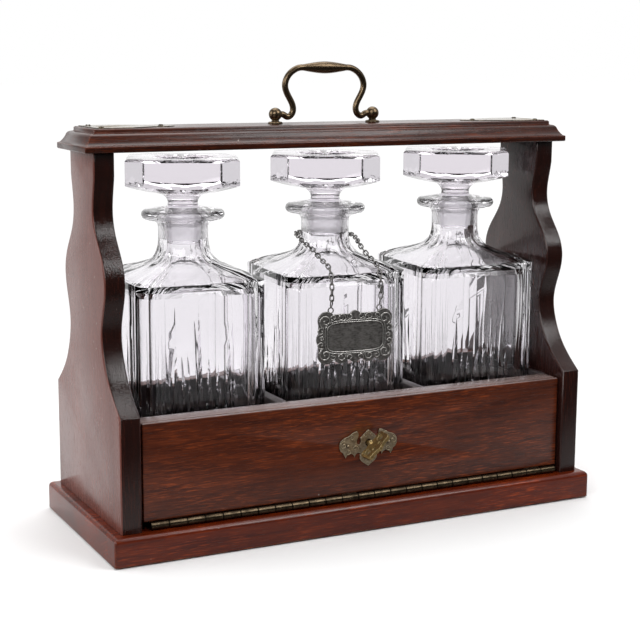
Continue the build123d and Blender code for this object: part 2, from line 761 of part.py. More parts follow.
def decanter():
    """One decanter about its own axis, heights from the shoulder edge."""
    glass = glass_body() + glass_neck()
    glass = fillet(glass.faces().sort_by(Axis.Z)[0].edges(), 1.2)
    cuts = [flute(x, 8.0, 0.65) for x in flute_spots]
    cuts += [flame(x, height, flame_width, flame_depth) for x, height in flame_spots]
    for quarter in range(4):
        glass -= [Rot(0, 0, 90 * quarter) * cut for cut in cuts]
    glass -= star(30.0, 2.2, 12, -decanter_height, up=False)
    glass -= glass_hollow()
    return glass


# ---- stoppers ----
block_half = 38.0
block_chamfer = 12.0
block_low = 62.7                # bottom of the block's upright faces
block_high = 82.2


def stopper():
    """Ground plug, waist and a broad chamfered block with a star-cut top."""
    under = [(0, plug_top + 1.0), (10.4, plug_top + 1.0), (10.4, 53.2), (12.8, 56.0), (16.8, 57.8),
             (26.0, 60.1), (48.0, block_low + 1.8), (48.0, block_high - 2.2),
             (35.0, block_high), (0, block_high)]
    head = turned(under)
    prism = Pos(0, 0, 70) * Box(2 * block_half, 2 * block_half, 60)
    head &= chamfer(prism.edges().filter_by(Axis.Z), block_chamfer)
    plug = turned([(0, plug_bottom), (plug_bottom_radius - plug_play, plug_bottom),
                   (plug_top_radius - plug_play, plug_top), (10.4, plug_top + 1.0), (0, plug_top + 1.0)])
    return head + plug - star(21.0, 1.6, 16, block_high, up=True)


def on_decanter(i, shape, turn):
    place = Pos((i - 1) * bay_pitch + decanter_offset, decanter_y, shoulder_z)
    return place * Rot(0, 0, turn) * shape


# ---- bottle ticket on its chain ----
ticket_width = 58.0
ticket_height = 37.0
ticket_thickness = 1.3
ticket_x = 3.8                  # from the decanter's axis
ticket_mid = -42.2              # from the shoulder edge
ring_x = 18.4
ring_rise = 20.6
wire_radius = 0.45
link_length = 5.75
link_width = 3.6
link_pitch = 3.84


def ticket_outline():
    """Scrolled outline: an oblong with bulging corners, sides and a crest above and below."""
    half_width, half_height = ticket_width / 2, ticket_height / 2
    face = RectangleRounded(ticket_width - 3.0, ticket_height - 4.5, 7.0)
    for side in (-1, 1):
        for end in (-1, 1):
            face += Pos(side * (half_width - 7.4), end * (half_height - 6.4)) * Circle(6.4)
        face += Pos(side * (half_width - 5.0), -1.0) * Ellipse(5.0, 5.6)
        face += Pos(side * 10.5, -half_height + 3.4) * Ellipse(4.6, 3.4)
        face += Pos(0, side * (half_height - 4.0)) * Circle(4.0)
    return face


def ticket():
    """Cast plate with a raised border round a sunk panel, and a ring at each upper corner."""
    plate = extrude(Plane.XZ * ticket_outline(), ticket_thickness)
    panel = RectangleRounded(ticket_width - 16, ticket_height - 15, 6.0)
    plate -= Pos(0, -ticket_thickness + 0.4, 0) * extrude(Plane.XZ * panel, 2)
    loops = []
    for side in (-1, 1):
        ring = Pos(side * ring_x, -ticket_thickness / 2, ring_rise - 1.4) * Rot(90, 0, 0) * Torus(1.9, 0.45)
        loops.append(ring)
    plate += loops
    return Pos(ticket_x, -decanter_half - 0.5, ticket_mid) * plate


def link():
    """One chain link lying along X."""
    straight = link_length - link_width
    radius = link_width / 2 - wire_radius
    half = straight / 2
    path = Wire([Edge.make_line((-half, radius, 0), (half, radius, 0)),
                 Edge.make_three_point_arc((half, radius, 0), (half + radius, 0, 0), (half, -radius, 0)),
                 Edge.make_line((half, -radius, 0), (-half, -radius, 0)),
                 Edge.make_three_point_arc((-half, -radius, 0), (-half - radius, 0, 0), (-half, radius, 0))])
    section = Plane(origin=path @ 0, z_dir=path % 0) * Circle(wire_radius)
    return sweep(section, path=path, transition=Transition.ROUND)


def chain_route():
    """Where the chain runs on the middle decanter: up from each ring, over the shoulder, round the neck."""
    y = -decanter_half - 2.4
    ring_z = ticket_mid + ring_rise + 3.75
    right = [(ticket_x + ring_x, y, ring_z), (ticket_x + ring_x, y, -2.0), (21.6, -43.9, 5.4),
             (20.2, -32.0, 11.2), (18.6, -20.0, 18.0), (20.6, -6.0, 22.2)]
    back = [(18.2, 9.6, 24.0), (10.6, 17.8, 24.4), (0.0, 20.8, 24.6), (-10.6, 17.8, 24.4), (-18.4, 9.6, 24.4)]
    left = [(-20.6, 0.0, 23.6), (-20.6, -11.0, 20.2), (-18.2, -22.0, 16.4), (-16.2, -33.0, 10.6),
            (-14.8, -43.9, 5.6), (ticket_x - ring_x, y, -2.0), (ticket_x - ring_x, y, ring_z)]
    return right + back + left


def ticket_chain():
    """Oval links strung along the route, each turned a quarter from the last."""
    line = Spline(*chain_route())
    count = round(line.length / link_pitch)
    pattern = link()
    links = []
    for i in range(count + 1):
        at = i / count
        along = line % at
        side = along.cross(Vector(0, 0, 1))
        side = side if side.length > 0.2 else Vector(1, 0, 0)
        frame = Plane(origin=line @ at, x_dir=along, z_dir=along.cross(side.normalized()))
        links.append(frame * Rot(45 + 90 * (i % 2), 0, 0) * pattern)
    return links


# ---- write the sub-parts ----
def write_stand():
    save("plinth", plinth())
    save("plinth_felt", plinth_felt())
    for name, side in sides.items():
        save(name + "_cheek", cheek(side))
        save("side_rail_" + name, side_rail(side))
        save("divider_" + name, divider(side))
        save("top_plate_" + name, top_plate(side))
        save("handle_post_" + name, handle_post(side))
        save("keeper_stud_" + name, keeper_stud(side))
    low = [place * screw(**cheek_screw, domed=False) for s in sides.values() for place in screw_places(s)[0]]
    high = [place * screw(**board_screw, domed=False) for s in sides.values() for place in screw_places(s)[1]]
    save("cheek_screws", *low)
    save("board_screws", *high)
    save("top_board", top_board())
    save("plate_screws", *[place * screw(**plate_screw, domed=True)
                           for s in sides.values() for place in plate_screw_places(s)])
    save("back_panel", back_panel())
    save("platform", platform())
    save("platform_bearers", *platform_bearers())
    save("well_baize", *well_baize())
    save("handle_nuts", *handle_nuts())
    save("handle_bail", handle_bail())


def write_front():
    save("drop_front", drop_front())
    low = plinth_top
    high = front_bottom - leaf_thickness
    save("hinge_leaf_plinth", leaf(0, low, False))
    save("hinge_leaf_front", leaf(1, high, True))
    save("hinge_pin", hinge_pin())
    save("plinth_leaf_screws", *[p * screw(**leaf_screw, domed=False)
                                 for p in leaf_screw_places(low + leaf_thickness)])
    save("front_leaf_screws", *[p * screw(**leaf_screw, domed=False)
                                for p in leaf_screw_places(high, flip=True)])
    save("lock_case", lock_case())
    save("lock_screws", *[p * screw(**lock_screw, domed=False) for p in lock_screw_places()])
    save("lock_bar", lock_bar())
    save("key", key())
    save("escutcheon", escutcheon())
    save("escutcheon_pins", *escutcheon_pins())


def write_glass():
    glass = decanter()
    plug = stopper()
    for i, name in enumerate(("left", "middle", "right")):
        save("decanter_" + name, on_decanter(i, glass, decanter_turn))
        save("stopper_" + name, on_decanter(i, plug, stopper_turns[i]))
    save("ticket", on_decanter(1, ticket(), decanter_turn))
    save("ticket_chain", *[on_decanter(1, one, decanter_turn) for one in ticket_chain()])


write_stand()
write_front()
write_glass()
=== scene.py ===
import json
import math
import random

import bmesh
import bpy
from mathutils import Matrix, Vector

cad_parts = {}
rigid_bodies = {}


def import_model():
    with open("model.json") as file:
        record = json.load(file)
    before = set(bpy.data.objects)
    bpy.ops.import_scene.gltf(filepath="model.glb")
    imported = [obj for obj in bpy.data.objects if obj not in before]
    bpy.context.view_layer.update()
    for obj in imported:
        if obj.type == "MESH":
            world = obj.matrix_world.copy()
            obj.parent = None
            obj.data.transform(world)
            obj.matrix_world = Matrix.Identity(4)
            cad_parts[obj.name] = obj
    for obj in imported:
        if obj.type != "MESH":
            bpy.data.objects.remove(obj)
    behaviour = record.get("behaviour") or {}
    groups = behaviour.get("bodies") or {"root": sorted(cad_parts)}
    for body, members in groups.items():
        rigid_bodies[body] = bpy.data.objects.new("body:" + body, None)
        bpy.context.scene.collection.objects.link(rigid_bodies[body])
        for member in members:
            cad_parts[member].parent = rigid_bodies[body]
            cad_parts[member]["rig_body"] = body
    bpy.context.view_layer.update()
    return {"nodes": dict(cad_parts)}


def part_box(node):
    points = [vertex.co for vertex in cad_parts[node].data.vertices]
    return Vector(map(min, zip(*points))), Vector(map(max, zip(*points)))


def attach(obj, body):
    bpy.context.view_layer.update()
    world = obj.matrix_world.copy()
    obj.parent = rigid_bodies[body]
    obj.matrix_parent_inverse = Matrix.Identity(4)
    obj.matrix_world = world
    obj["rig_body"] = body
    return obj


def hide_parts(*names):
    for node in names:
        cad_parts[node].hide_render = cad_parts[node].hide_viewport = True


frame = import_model()
nodes = frame["nodes"]
mm = 0.001
print("tantalus: frame loaded,", len(nodes), "nodes")


def addObject(name, data):
    thing = bpy.data.objects.new(name, data)
    bpy.context.scene.collection.objects.link(thing)
    return thing


cameraSettings = {
    "place": (-0.4753, -0.9446, 0.3287),
    "yaw": 26.58,           # degrees to the right of +Y
    "pitch": 10.29,         # degrees down
    "roll": 0.33,
    "lens": 83.8,
}


def makeCamera():
    s = cameraSettings
    yaw, pitch, roll = (math.radians(s[k]) for k in ("yaw", "pitch", "roll"))
    forward = Vector((math.sin(yaw) * math.cos(pitch), math.cos(yaw) * math.cos(pitch),
                      -math.sin(pitch)))
    level = Vector((math.cos(yaw), -math.sin(yaw), 0))
    upright = level.cross(forward)
    right = level * math.cos(roll) + upright * math.sin(roll)
    up = upright * math.cos(roll) - level * math.sin(roll)
    data = bpy.data.cameras.new("camera")
    data.lens = s["lens"]
    data.sensor_width = 36
    data.clip_end = 50
    camera = addObject("camera", data)
    turn = Matrix((right, up, -forward)).transposed().to_4x4()
    camera.matrix_world = Matrix.Translation(s["place"]) @ turn
    bpy.context.scene.camera = camera


# small helpers for shader trees
def put(tree, kind, settings=None, **sockets):
    node = tree.nodes.new("ShaderNode" + kind)
    for key, value in (settings or {}).items():
        setattr(node, key, value)
    for key, value in sockets.items():
        wire(tree, value, pick(node, key))
    return node


def pick(node, key):
    # a socket by its name, or by its number where two share a name
    if key[0] == "n" and key[1:].isdigit():
        return node.inputs[int(key[1:])]
    return node.inputs[key.replace("_", " ")]


def wire(tree, value, socket):
    if isinstance(value, bpy.types.NodeSocket):
        tree.links.new(value, socket)
    else:
        socket.default_value = value


def sums(tree, operation, a, b):
    node = tree.nodes.new("ShaderNodeMath")
    node.operation = operation
    wire(tree, a, node.inputs[0])
    wire(tree, b, node.inputs[1])
    return node.outputs[0]


def spread(tree, value, low, high, to=(0.0, 1.0), smooth=False):
    # maps low..high onto to[0]..to[1] and stops at both ends
    node = tree.nodes.new("ShaderNodeMapRange")
    node.clamp = True
    if smooth:
        node.interpolation_type = "SMOOTHSTEP"
    for socket, v in zip(node.inputs, (value, low, high, *to)):
        wire(tree, v, socket)
    return node.outputs[0]


def blendColour(tree, share, a, b):
    node = tree.nodes.new("ShaderNodeMix")
    node.data_type = "RGBA"
    wire(tree, share, node.inputs[0])
    wire(tree, a, node.inputs[6])
    wire(tree, b, node.inputs[7])
    return node.outputs[2]


def grey(tree, value):
    return put(tree, "CombineColor", Red=value, Green=value, Blue=value).outputs[0]


def noise(tree, vector, scale, detail, rough=0.5, warp=0.0):
    node = put(tree, "TexNoise", Vector=vector, Scale=scale, Detail=detail, Roughness=rough,
               Distortion=warp)
    return node.outputs["Fac"]


def newGroup(name, takes, gives):
    tree = bpy.data.node_groups.new(name, "ShaderNodeTree")
    # v is a vector, f a single value
    kinds = {"v": "NodeSocketVector", "f": "NodeSocketFloat"}
    for kind, label, start in takes:
        socket = tree.interface.new_socket(label, in_out="INPUT", socket_type=kinds[kind])
        if start is not None:
            socket.default_value = start
    for kind, label in gives:
        tree.interface.new_socket(label, in_out="OUTPUT", socket_type=kinds[kind])
    return tree, tree.nodes.new("NodeGroupInput").outputs, tree.nodes.new("NodeGroupOutput").inputs


def useGroup(tree, group, **sockets):
    node = tree.nodes.new("ShaderNodeGroup")
    node.node_tree = group
    for key, value in sockets.items():
        wire(tree, value, pick(node, key))
    return node.outputs


def newMaterial(name):
    material = bpy.data.materials.new(name)
    material.use_nodes = True
    tree = material.node_tree
    return material, tree, tree.nodes["Principled BSDF"]


def colour(r, g, b):
    # the colour as it is seen, 0 to 255, in Blender's linear values
    seen = [c / 255 for c in (r, g, b)]
    return (*[((c + 0.055) / 1.055) ** 2.4 if c > 10 / 255 else c / 12.92 for c in seen], 1.0)


# effects that several materials share
def makeEdgeWear():
    # 1 along arrises, broken up by rubbing
    tree, takes, gives = newGroup(
        "edgeWear", [("v", "Place", None), ("f", "Width", 0.001), ("f", "Breakup", 0.5)],
        [("f", "Rubbed"), ("v", "Eased")])
    bevel = put(tree, "Bevel", {"samples": 6}, Radius=takes["Width"])
    flat = put(tree, "NewGeometry").outputs["Normal"]
    turn = put(tree, "VectorMath", {"operation": "DOT_PRODUCT"}, n0=bevel.outputs[0], n1=flat)
    edge = spread(tree, turn.outputs["Value"], 0.995, 0.86)
    patchy = noise(tree, takes["Place"], 90.0, 4.0, 0.6)
    low = sums(tree, "MULTIPLY", takes["Breakup"], 0.75)
    kept = spread(tree, patchy, low, sums(tree, "ADD", low, 0.25))
    wire(tree, sums(tree, "MULTIPLY", edge, kept), gives["Rubbed"])
    wire(tree, bevel.outputs[0], gives["Eased"])
    return tree


def makeSpecks():
    # scattered specks of dust and lint
    tree, takes, gives = newGroup(
        "dustSpecks", [("v", "Place", None), ("f", "Scale", 260.0), ("f", "Amount", 0.02)],
        [("f", "Specks"), ("f", "Film")])
    cells = put(tree, "TexVoronoi", {"feature": "F1"}, Vector=takes["Place"], Scale=takes["Scale"])
    near = spread(tree, cells.outputs["Distance"], 0.16, 0.05)
    chosen = put(tree, "SeparateColor", Color=cells.outputs["Color"]).outputs["Red"]
    few = sums(tree, "LESS_THAN", chosen, takes["Amount"])
    wire(tree, sums(tree, "MULTIPLY", near, few), gives["Specks"])
    film = noise(tree, takes["Place"], 24.0, 5.0, 0.65)
    wire(tree, spread(tree, film, 0.42, 0.72), gives["Film"])
    return tree


def makeWoodGrain():
    # the grain runs along the X of the vector that is given
    tree, takes, gives = newGroup(
        "woodGrain", [("v", "Along", None), ("f", "Fineness", 1.0)],
        [("f", "Figure"), ("f", "Streaks"), ("f", "Flecks"), ("f", "Pores"), ("f", "Cloud")])

    def stretched(along, across, detail, rough, warp=0.0):
        size = put(tree, "VectorMath", {"operation": "MULTIPLY"}, n0=takes["Along"],
                   n1=(along, across, across))
        finer = put(tree, "VectorMath", {"operation": "SCALE"}, n0=size.outputs[0],
                    Scale=takes["Fineness"])
        return noise(tree, finer.outputs[0], 1.0, detail, rough, warp)

    figure = stretched(2.2, 26, 4.0, 0.55, 0.6)
    streaks = stretched(16, 330, 4.0, 0.62, 0.25)
    flecks = stretched(80, 1300, 2.0, 0.6, 0.1)
    pores = stretched(120, 2600, 2.0, 0.5)
    cloud = stretched(14, 34, 3.0, 0.6, 0.4)
    wire(tree, spread(tree, figure, 0.30, 0.70), gives["Figure"])
    wire(tree, spread(tree, streaks, 0.34, 0.66), gives["Streaks"])
    wire(tree, spread(tree, flecks, 0.53, 0.66), gives["Flecks"])
    wire(tree, spread(tree, pores, 0.60, 0.70), gives["Pores"])
    wire(tree, spread(tree, cloud, 0.30, 0.72), gives["Cloud"])
    return tree


def makePatina():
    # dark in the recesses, mottled on the open faces
    tree, takes, gives = newGroup(
        "patina", [("v", "Place", None), ("f", "Reach", 0.002), ("f", "Scale", 150.0)],
        [("f", "Recess"), ("f", "Mottle"), ("f", "Scratches")])
    shade = put(tree, "AmbientOcclusion", {"samples": 8}, Distance=takes["Reach"])
    wire(tree, spread(tree, shade.outputs["AO"], 0.92, 0.45), gives["Recess"])
    mottle = noise(tree, takes["Place"], takes["Scale"], 5.0, 0.62)
    wire(tree, spread(tree, mottle, 0.36, 0.68), gives["Mottle"])
    long = put(tree, "VectorMath", {"operation": "MULTIPLY"}, n0=takes["Place"], n1=(300, 2600, 1700))
    scratches = noise(tree, long.outputs[0], 1.0, 2.0, 0.5)
    wire(tree, spread(tree, scratches, 0.42, 0.62), gives["Scratches"])
    return tree


edgeWear = makeEdgeWear()
dustSpecks = makeSpecks()
woodGrain = makeWoodGrain()
patina = makePatina()


# colours of the polished wood: its dark and middle figure, its lit streaks and its rubbed edges
woodTones = {
    "front": {"deep": (52, 22, 14), "mid": (86, 39, 25), "light": (172, 80, 38), "worn": (178, 126, 96)},
    "plinth": {"deep": (52, 13, 5), "mid": (96, 27, 9), "light": (168, 66, 20), "worn": (190, 134, 100)},
    "moulding": {"deep": (28, 8, 4), "mid": (50, 16, 8), "light": (116, 50, 20), "worn": (136, 64, 34)},
    # cheek tones: their rubbed-edge colours are dark, so the cheeks' arrises come out as dark lines; the
    # outer-face tones are painted lighter and pinker, painted light and sheen from the left, and the
    # inner-face tones are painted darker, painted shade
    "cheekEdge": {"deep": (24, 9, 7), "mid": (38, 15, 11), "light": (70, 30, 20), "worn": (30, 12, 9)},
    "litCheekFace": {"deep": (96, 50, 42), "mid": (118, 66, 56), "light": (137, 82, 70), "worn": (60, 26, 20)},
    "shadedCheekInner": {"deep": (40, 19, 16), "mid": (54, 28, 24), "light": (76, 42, 36), "worn": (60, 26, 20)},
    # inside tones: the mahogany greyed and darkened, painted shade and glass haze for the faces inside the
    # box
    "inside": {"deep": (34, 27, 27), "mid": (62, 52, 52), "light": (94, 82, 80), "worn": (84, 68, 62)},
    # ledge tones: the up-facing faces of the front painted pale grey-pink, a painted sheen from grazing light
    "ledge": {"deep": (108, 88, 84), "mid": (152, 130, 124), "light": (178, 158, 152),
              "worn": (196, 176, 166)},
}
woodPolish = {
    "edgeWidth": 0.0011,
    "dust": (205, 195, 185),
    "dustAmount": 0.012,
    "dustScale": 230.0,
    "gritScale": 1100.0,
    "specular": 0.5,
}


def mahogany(name, tones, turn, shift, gloss=0.17, fineness=1.0, worn=0.55, relief=0.12, grit=0.0):
    # turn lays the grain along a board, shift moves the figure so that no two boards match
    material, tree, surface = newMaterial(name)
    polish = woodPolish
    tone = {key: colour(*value) for key, value in woodTones[tones].items()}
    place = put(tree, "TexCoord").outputs["Object"]
    along = put(tree, "Mapping", Vector=place, Location=shift, Rotation=turn).outputs[0]
    grain = useGroup(tree, woodGrain, Along=along, Fineness=fineness)
    edge = useGroup(tree, edgeWear, Place=place, Width=polish["edgeWidth"], Breakup=worn)
    dust = useGroup(tree, dustSpecks, Place=place, Scale=polish["dustScale"], Amount=polish["dustAmount"])
    base = blendColour(tree, grain["Figure"], tone["deep"], tone["mid"])
    base = blendColour(tree, sums(tree, "MULTIPLY", grain["Streaks"], 0.3), base, tone["light"])
    lit = sums(tree, "MULTIPLY", grain["Flecks"], spread(tree, grain["Cloud"], 0.0, 0.8, (0.95, 0.25)))
    base = blendColour(tree, lit, base, tone["light"])
    base = blendColour(tree, sums(tree, "MULTIPLY", grain["Pores"], 0.7), base, tone["deep"])
    base = blendColour(tree, sums(tree, "MULTIPLY", grain["Cloud"], 0.5), base, tone["deep"])
    base = blendColour(tree, sums(tree, "MULTIPLY", edge["Rubbed"], 0.75), base, tone["worn"])
    base = blendColour(tree, sums(tree, "MULTIPLY", dust["Specks"], 0.7), base, colour(*polish["dust"]))
    wire(tree, base, surface.inputs["Base Color"])
    rough = spread(tree, dust["Film"], 0.0, 1.0, (gloss, gloss + 0.1))
    rough = sums(tree, "ADD", rough, sums(tree, "MULTIPLY", grain["Pores"], 0.14))
    wire(tree, rough, surface.inputs["Roughness"])
    height = sums(tree, "ADD", sums(tree, "MULTIPLY", grain["Streaks"], 0.35),
                  sums(tree, "MULTIPLY", grain["Pores"], -0.8))
    if grit:
        grains = noise(tree, place, polish["gritScale"], 1.0)
        height = sums(tree, "ADD", height, sums(tree, "MULTIPLY", grains, grit))
    bump = put(tree, "Bump", Strength=relief, Distance=0.0002, Height=height, Normal=edge["Eased"])
    wire(tree, bump.outputs[0], surface.inputs["Normal"])
    surface.inputs["Specular IOR Level"].default_value = polish["specular"]
    return material


def softwood():
    material, tree, surface = newMaterial("planedPine")
    place = put(tree, "TexCoord").outputs["Object"]
    grain = useGroup(tree, woodGrain, Along=place, Fineness=0.7)
    base = blendColour(tree, grain["Figure"], colour(150, 108, 66), colour(184, 144, 96))
    base = blendColour(tree, sums(tree, "MULTIPLY", grain["Streaks"], 0.4), base, colour(128, 84, 48))
    wire(tree, base, surface.inputs["Base Color"])
    wire(tree, spread(tree, grain["Streaks"], 0.0, 1.0, (0.62, 0.78)), surface.inputs["Roughness"])
    bump = put(tree, "Bump", Strength=0.25, Distance=0.0003, Height=grain["Streaks"])
    wire(tree, bump.outputs[0], surface.inputs["Normal"])
    return material


def baize():
    material, tree, surface = newMaterial("greyBaize")
    place = put(tree, "TexCoord").outputs["Object"]
    nap = noise(tree, place, 1500.0, 3.0, 0.7)
    worn = spread(tree, noise(tree, place, 30.0, 4.0, 0.6), 0.35, 0.7)
    base = blendColour(tree, nap, colour(40, 40, 42), colour(74, 74, 78))
    base = blendColour(tree, sums(tree, "MULTIPLY", worn, 0.4), base, colour(88, 88, 90))
    wire(tree, base, surface.inputs["Base Color"])
    wire(tree, spread(tree, nap, 0.3, 0.7, (0.86, 1.0)), surface.inputs["Roughness"])
    bump = put(tree, "Bump", Strength=0.6, Distance=0.0004, Height=nap)
    wire(tree, bump.outputs[0], surface.inputs["Normal"])
    surface.inputs["Sheen Weight"].default_value = 0.25
    return material


def metal(name, dark, mid, bright, rough=(0.26, 0.45), reach=0.002, scale=150.0, dirt=0.85, joints=None,
          scratched=0.18, metallic=1.0, pitted=0.0):
    # dark, mid and bright: tarnish, open faces, rubbed edges; reach: how far grime creeps from a recess
    material, tree, surface = newMaterial(name)
    place = put(tree, "TexCoord").outputs["Object"]
    age = useGroup(tree, patina, Place=place, Reach=reach, Scale=scale)
    edge = useGroup(tree, edgeWear, Place=place, Width=0.0005, Breakup=0.35)
    base = blendColour(tree, age["Mottle"], colour(*mid), colour(*dark))
    base = blendColour(tree, sums(tree, "MULTIPLY", edge["Rubbed"], 0.7), base, colour(*bright))
    base = blendColour(tree, sums(tree, "MULTIPLY", age["Scratches"], scratched), base, colour(*bright))
    grime = colour(*[c * 0.22 for c in dark])
    base = blendColour(tree, sums(tree, "MULTIPLY", age["Recess"], dirt), base, grime)
    if joints:
        # grime where one knuckle meets the next, every pitch along X
        start, pitch = joints
        along = put(tree, "SeparateXYZ", Vector=place).outputs["X"]
        near = sums(tree, "PINGPONG", sums(tree, "SUBTRACT", along, start), pitch / 2)
        base = blendColour(tree, spread(tree, near, 0.0002, 0.0007, (1.0, 0.0)), base, grime)
    wire(tree, base, surface.inputs["Base Color"])
    wire(tree, spread(tree, age["Mottle"], 0.0, 1.0, rough), surface.inputs["Roughness"])
    height = sums(tree, "ADD", age["Scratches"], sums(tree, "MULTIPLY", age["Mottle"], pitted))
    bump = put(tree, "Bump", Strength=0.15, Distance=0.00015, Height=height, Normal=edge["Eased"])
    wire(tree, bump.outputs[0], surface.inputs["Normal"])
    surface.inputs["Metallic"].default_value = metallic
    return material


def crystal(name, tint, rough, waviness, through=1.0, index=1.54, ripple=75.0):
    # waviness and ripple: how strong and how fine the waves are that the cutting left
    material, tree, surface = newMaterial(name)
    place = put(tree, "TexCoord").outputs["Object"]
    smear = noise(tree, place, 60.0, 4.0, 0.6)
    wire(tree, spread(tree, smear, 0.45, 0.75, rough), surface.inputs["Roughness"])
    wave = noise(tree, place, ripple, 2.0, 0.4)
    bump = put(tree, "Bump", Strength=waviness, Distance=0.0004, Height=wave)
    wire(tree, bump.outputs[0], surface.inputs["Normal"])
    surface.inputs["Base Color"].default_value = colour(*tint)
    surface.inputs["IOR"].default_value = index
    surface.inputs["Transmission Weight"].default_value = through
    return material


lying = (0.0, 0.0, 0.0)                     # grain along X, as in the long boards
standing = (0.0, math.radians(90), 0.0)     # grain along Z, as in the cheeks
hingeJoints = (-0.15775, 0.0127)            # first knuckle's end and the knuckles' pitch

finishes = {
    "front": mahogany("frontMahogany", "front", lying, (0.31, 0.0, 0.12), worn=0.66),
    "plinth": mahogany("plinthMahogany", "plinth", lying, (1.7, 0.4, 0.9), fineness=0.8),
    "board": mahogany("mouldedMahogany", "moulding", lying, (0.9, 2.2, 0.3), 0.2, worn=0.45),
    "cheekEdge": mahogany("cheekEdgeMahogany", "cheekEdge", standing, (0.2, 0.9, 1.6), 0.08,
                          worn=0.3, relief=0.3, grit=2.4),
    # the cheeks' outer faces take painted light and sheen, their inner faces painted shade
    "litCheekFace": mahogany("litCheekFaceMahogany", "litCheekFace", standing, (0.2, 0.9, 1.6), 0.2, worn=0.3),
    "shadedCheekInner": mahogany("shadedCheekInnerMahogany", "shadedCheekInner", standing, (0.8, 0.4, 1.1), 0.2,
                           worn=0.5),
    # painted shade and glass haze for the wood inside the box
    "inside": mahogany("insidePaintedShadeMahogany", "inside", lying, (2.4, 0.1, 0.6), 0.3, worn=0.8),
    # the ledge's pale tones are painted sheen
    "ledge": mahogany("ledgePaintedSheen", "ledge", lying, (0.31, 0.0, 0.12), 0.2, worn=0.8),
    "pine": softwood(),
    "baize": baize(),
    "handleBrass": metal("handleBrass", (74, 62, 48), (114, 97, 76), (204, 188, 156),
                         (0.22, 0.34), 0.0016, 60.0, scratched=0.04),
    "plateBrass": metal("plateBrass", (112, 98, 78), (156, 142, 120), (204, 190, 164),
                        (0.1, 0.2), dirt=0.9),
    "screwBrass": metal("screwBrass", (40, 33, 26), (66, 55, 42), (150, 132, 100), (0.25, 0.4)),
    "hingeBrass": metal("hingeBrass", (52, 44, 34), (92, 79, 62), (168, 152, 128),
                        (0.2, 0.36), scratched=0.03, joints=hingeJoints),
    "lockBrass": metal("lockBrass", (140, 110, 60), (178, 146, 88), (214, 186, 130),
                       (0.28, 0.42), dirt=0.5),
    "escutcheonBrass": metal("escutcheonBrass", (112, 94, 72), (168, 150, 124), (240, 226, 196),
                             (0.34, 0.5), 0.0012, 420.0, metallic=0.75, pitted=3.0),
    "keyBrass": metal("keyBrass", (112, 86, 48), (176, 146, 92), (238, 218, 164),
                      (0.28, 0.42), 0.001, 300.0, metallic=0.85, pitted=1.5),
    "brightBrass": metal("rubbedBrass", (150, 128, 96), (208, 190, 156), (252, 240, 214),
                         (0.26, 0.4), 0.001, 300.0, metallic=0.85),
    "steel": metal("screwSteel", (84, 82, 80), (120, 118, 116), (170, 168, 166), (0.35, 0.5)),
    "silver": metal("ticketSilver", (70, 67, 65), (142, 138, 135), (240, 237, 233),
                    (0.34, 0.5), 0.0012, 300.0, metallic=0.75, pitted=2.0),
    "brightSilver": metal("rubbedSilver", (150, 147, 143), (206, 203, 199), (252, 250, 247),
                          (0.24, 0.36), 0.0012, 300.0, metallic=0.85),
    "crystal": crystal("cutCrystal", (250, 248, 251), (0.0, 0.015), 0.05),
    "castGlass": crystal("castGlass", (206, 204, 208), (0.02, 0.08), 1.0, ripple=260.0),
    "groundGlass": crystal("groundGlass", (248, 246, 249), (0.34, 0.44), 0.0, through=0.85, index=1.4),
    # the plug fills its bore, so it bends the light but little
    "plugGlass": crystal("plugGlass", (253, 252, 254), (0.1, 0.16), 0.0, index=1.1),
    "stopperCrystal": crystal("stopperCrystal", (230, 224, 231), (0.0, 0.015), 0.05),
}
print("tantalus: finishes ready")


joinery = {
    "merge": 0.000002,      # points of a new piece closer than this are one
    "join": 0.000004,       # and points of a copied solid
    "flat": 0.4,            # neighbouring faces of a copy that differ by less, in degrees, are one
    "sharp": 38.0,          # arrises that are sharper than this are eased
    "segments": 2,
    "facing": 0.7,          # how squarely a face looks a way to take the finish for that way
}


def finishPiece(bm, name, body, materials, crease=32.0, replaces=()):
    bmesh.ops.remove_doubles(bm, verts=bm.verts, dist=joinery["merge"])
    bmesh.ops.recalc_face_normals(bm, faces=bm.faces)
    mesh = bpy.data.meshes.new(name)
    bm.to_mesh(mesh)
    bm.free()
    for polygon in mesh.polygons:
        polygon.use_smooth = True
    mesh.set_sharp_from_angle(angle=math.radians(crease))
    piece = addObject(name, mesh)
    for key in materials:
        mesh.materials.append(finishes[key])
    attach(piece, body)
    if replaces:
        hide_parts(*replaces)


def loopStack(bm, stations, rows, place, materialOf):
    # a loop of points drawn up through the rows by edge extrusion;
    # place(k, row) says where each point goes, materialOf(i) the material above row i
    tag = bm.verts.layers.int.new("station")
    ring = bmesh.ops.create_circle(bm, cap_ends=False, segments=stations, radius=0.01)["verts"]
    for k, v in enumerate(ring):
        v[tag] = k
        v.co = place(k, rows[0])
    first = edges = list(bm.edges)
    for i, row in enumerate(rows[1:]):
        made = bmesh.ops.extrude_edge_only(bm, edges=edges)["geom"]
        fresh = {g for g in made if isinstance(g, bmesh.types.BMVert)}
        for v in fresh:
            v.co = place(v[tag], row)
        edges = [g for g in made
                 if isinstance(g, bmesh.types.BMEdge) and all(v in fresh for v in g.verts)]
        for face in (g for g in made if isinstance(g, bmesh.types.BMFace)):
            face.material_index = materialOf(i)
    return first, edges


def closeLoop(bm, edges, spot):
    made = bmesh.ops.extrude_edge_only(bm, edges=edges)["geom"]
    fresh = [g for g in made if isinstance(g, bmesh.types.BMVert)]
    bmesh.ops.pointmerge(bm, verts=fresh, merge_co=spot)


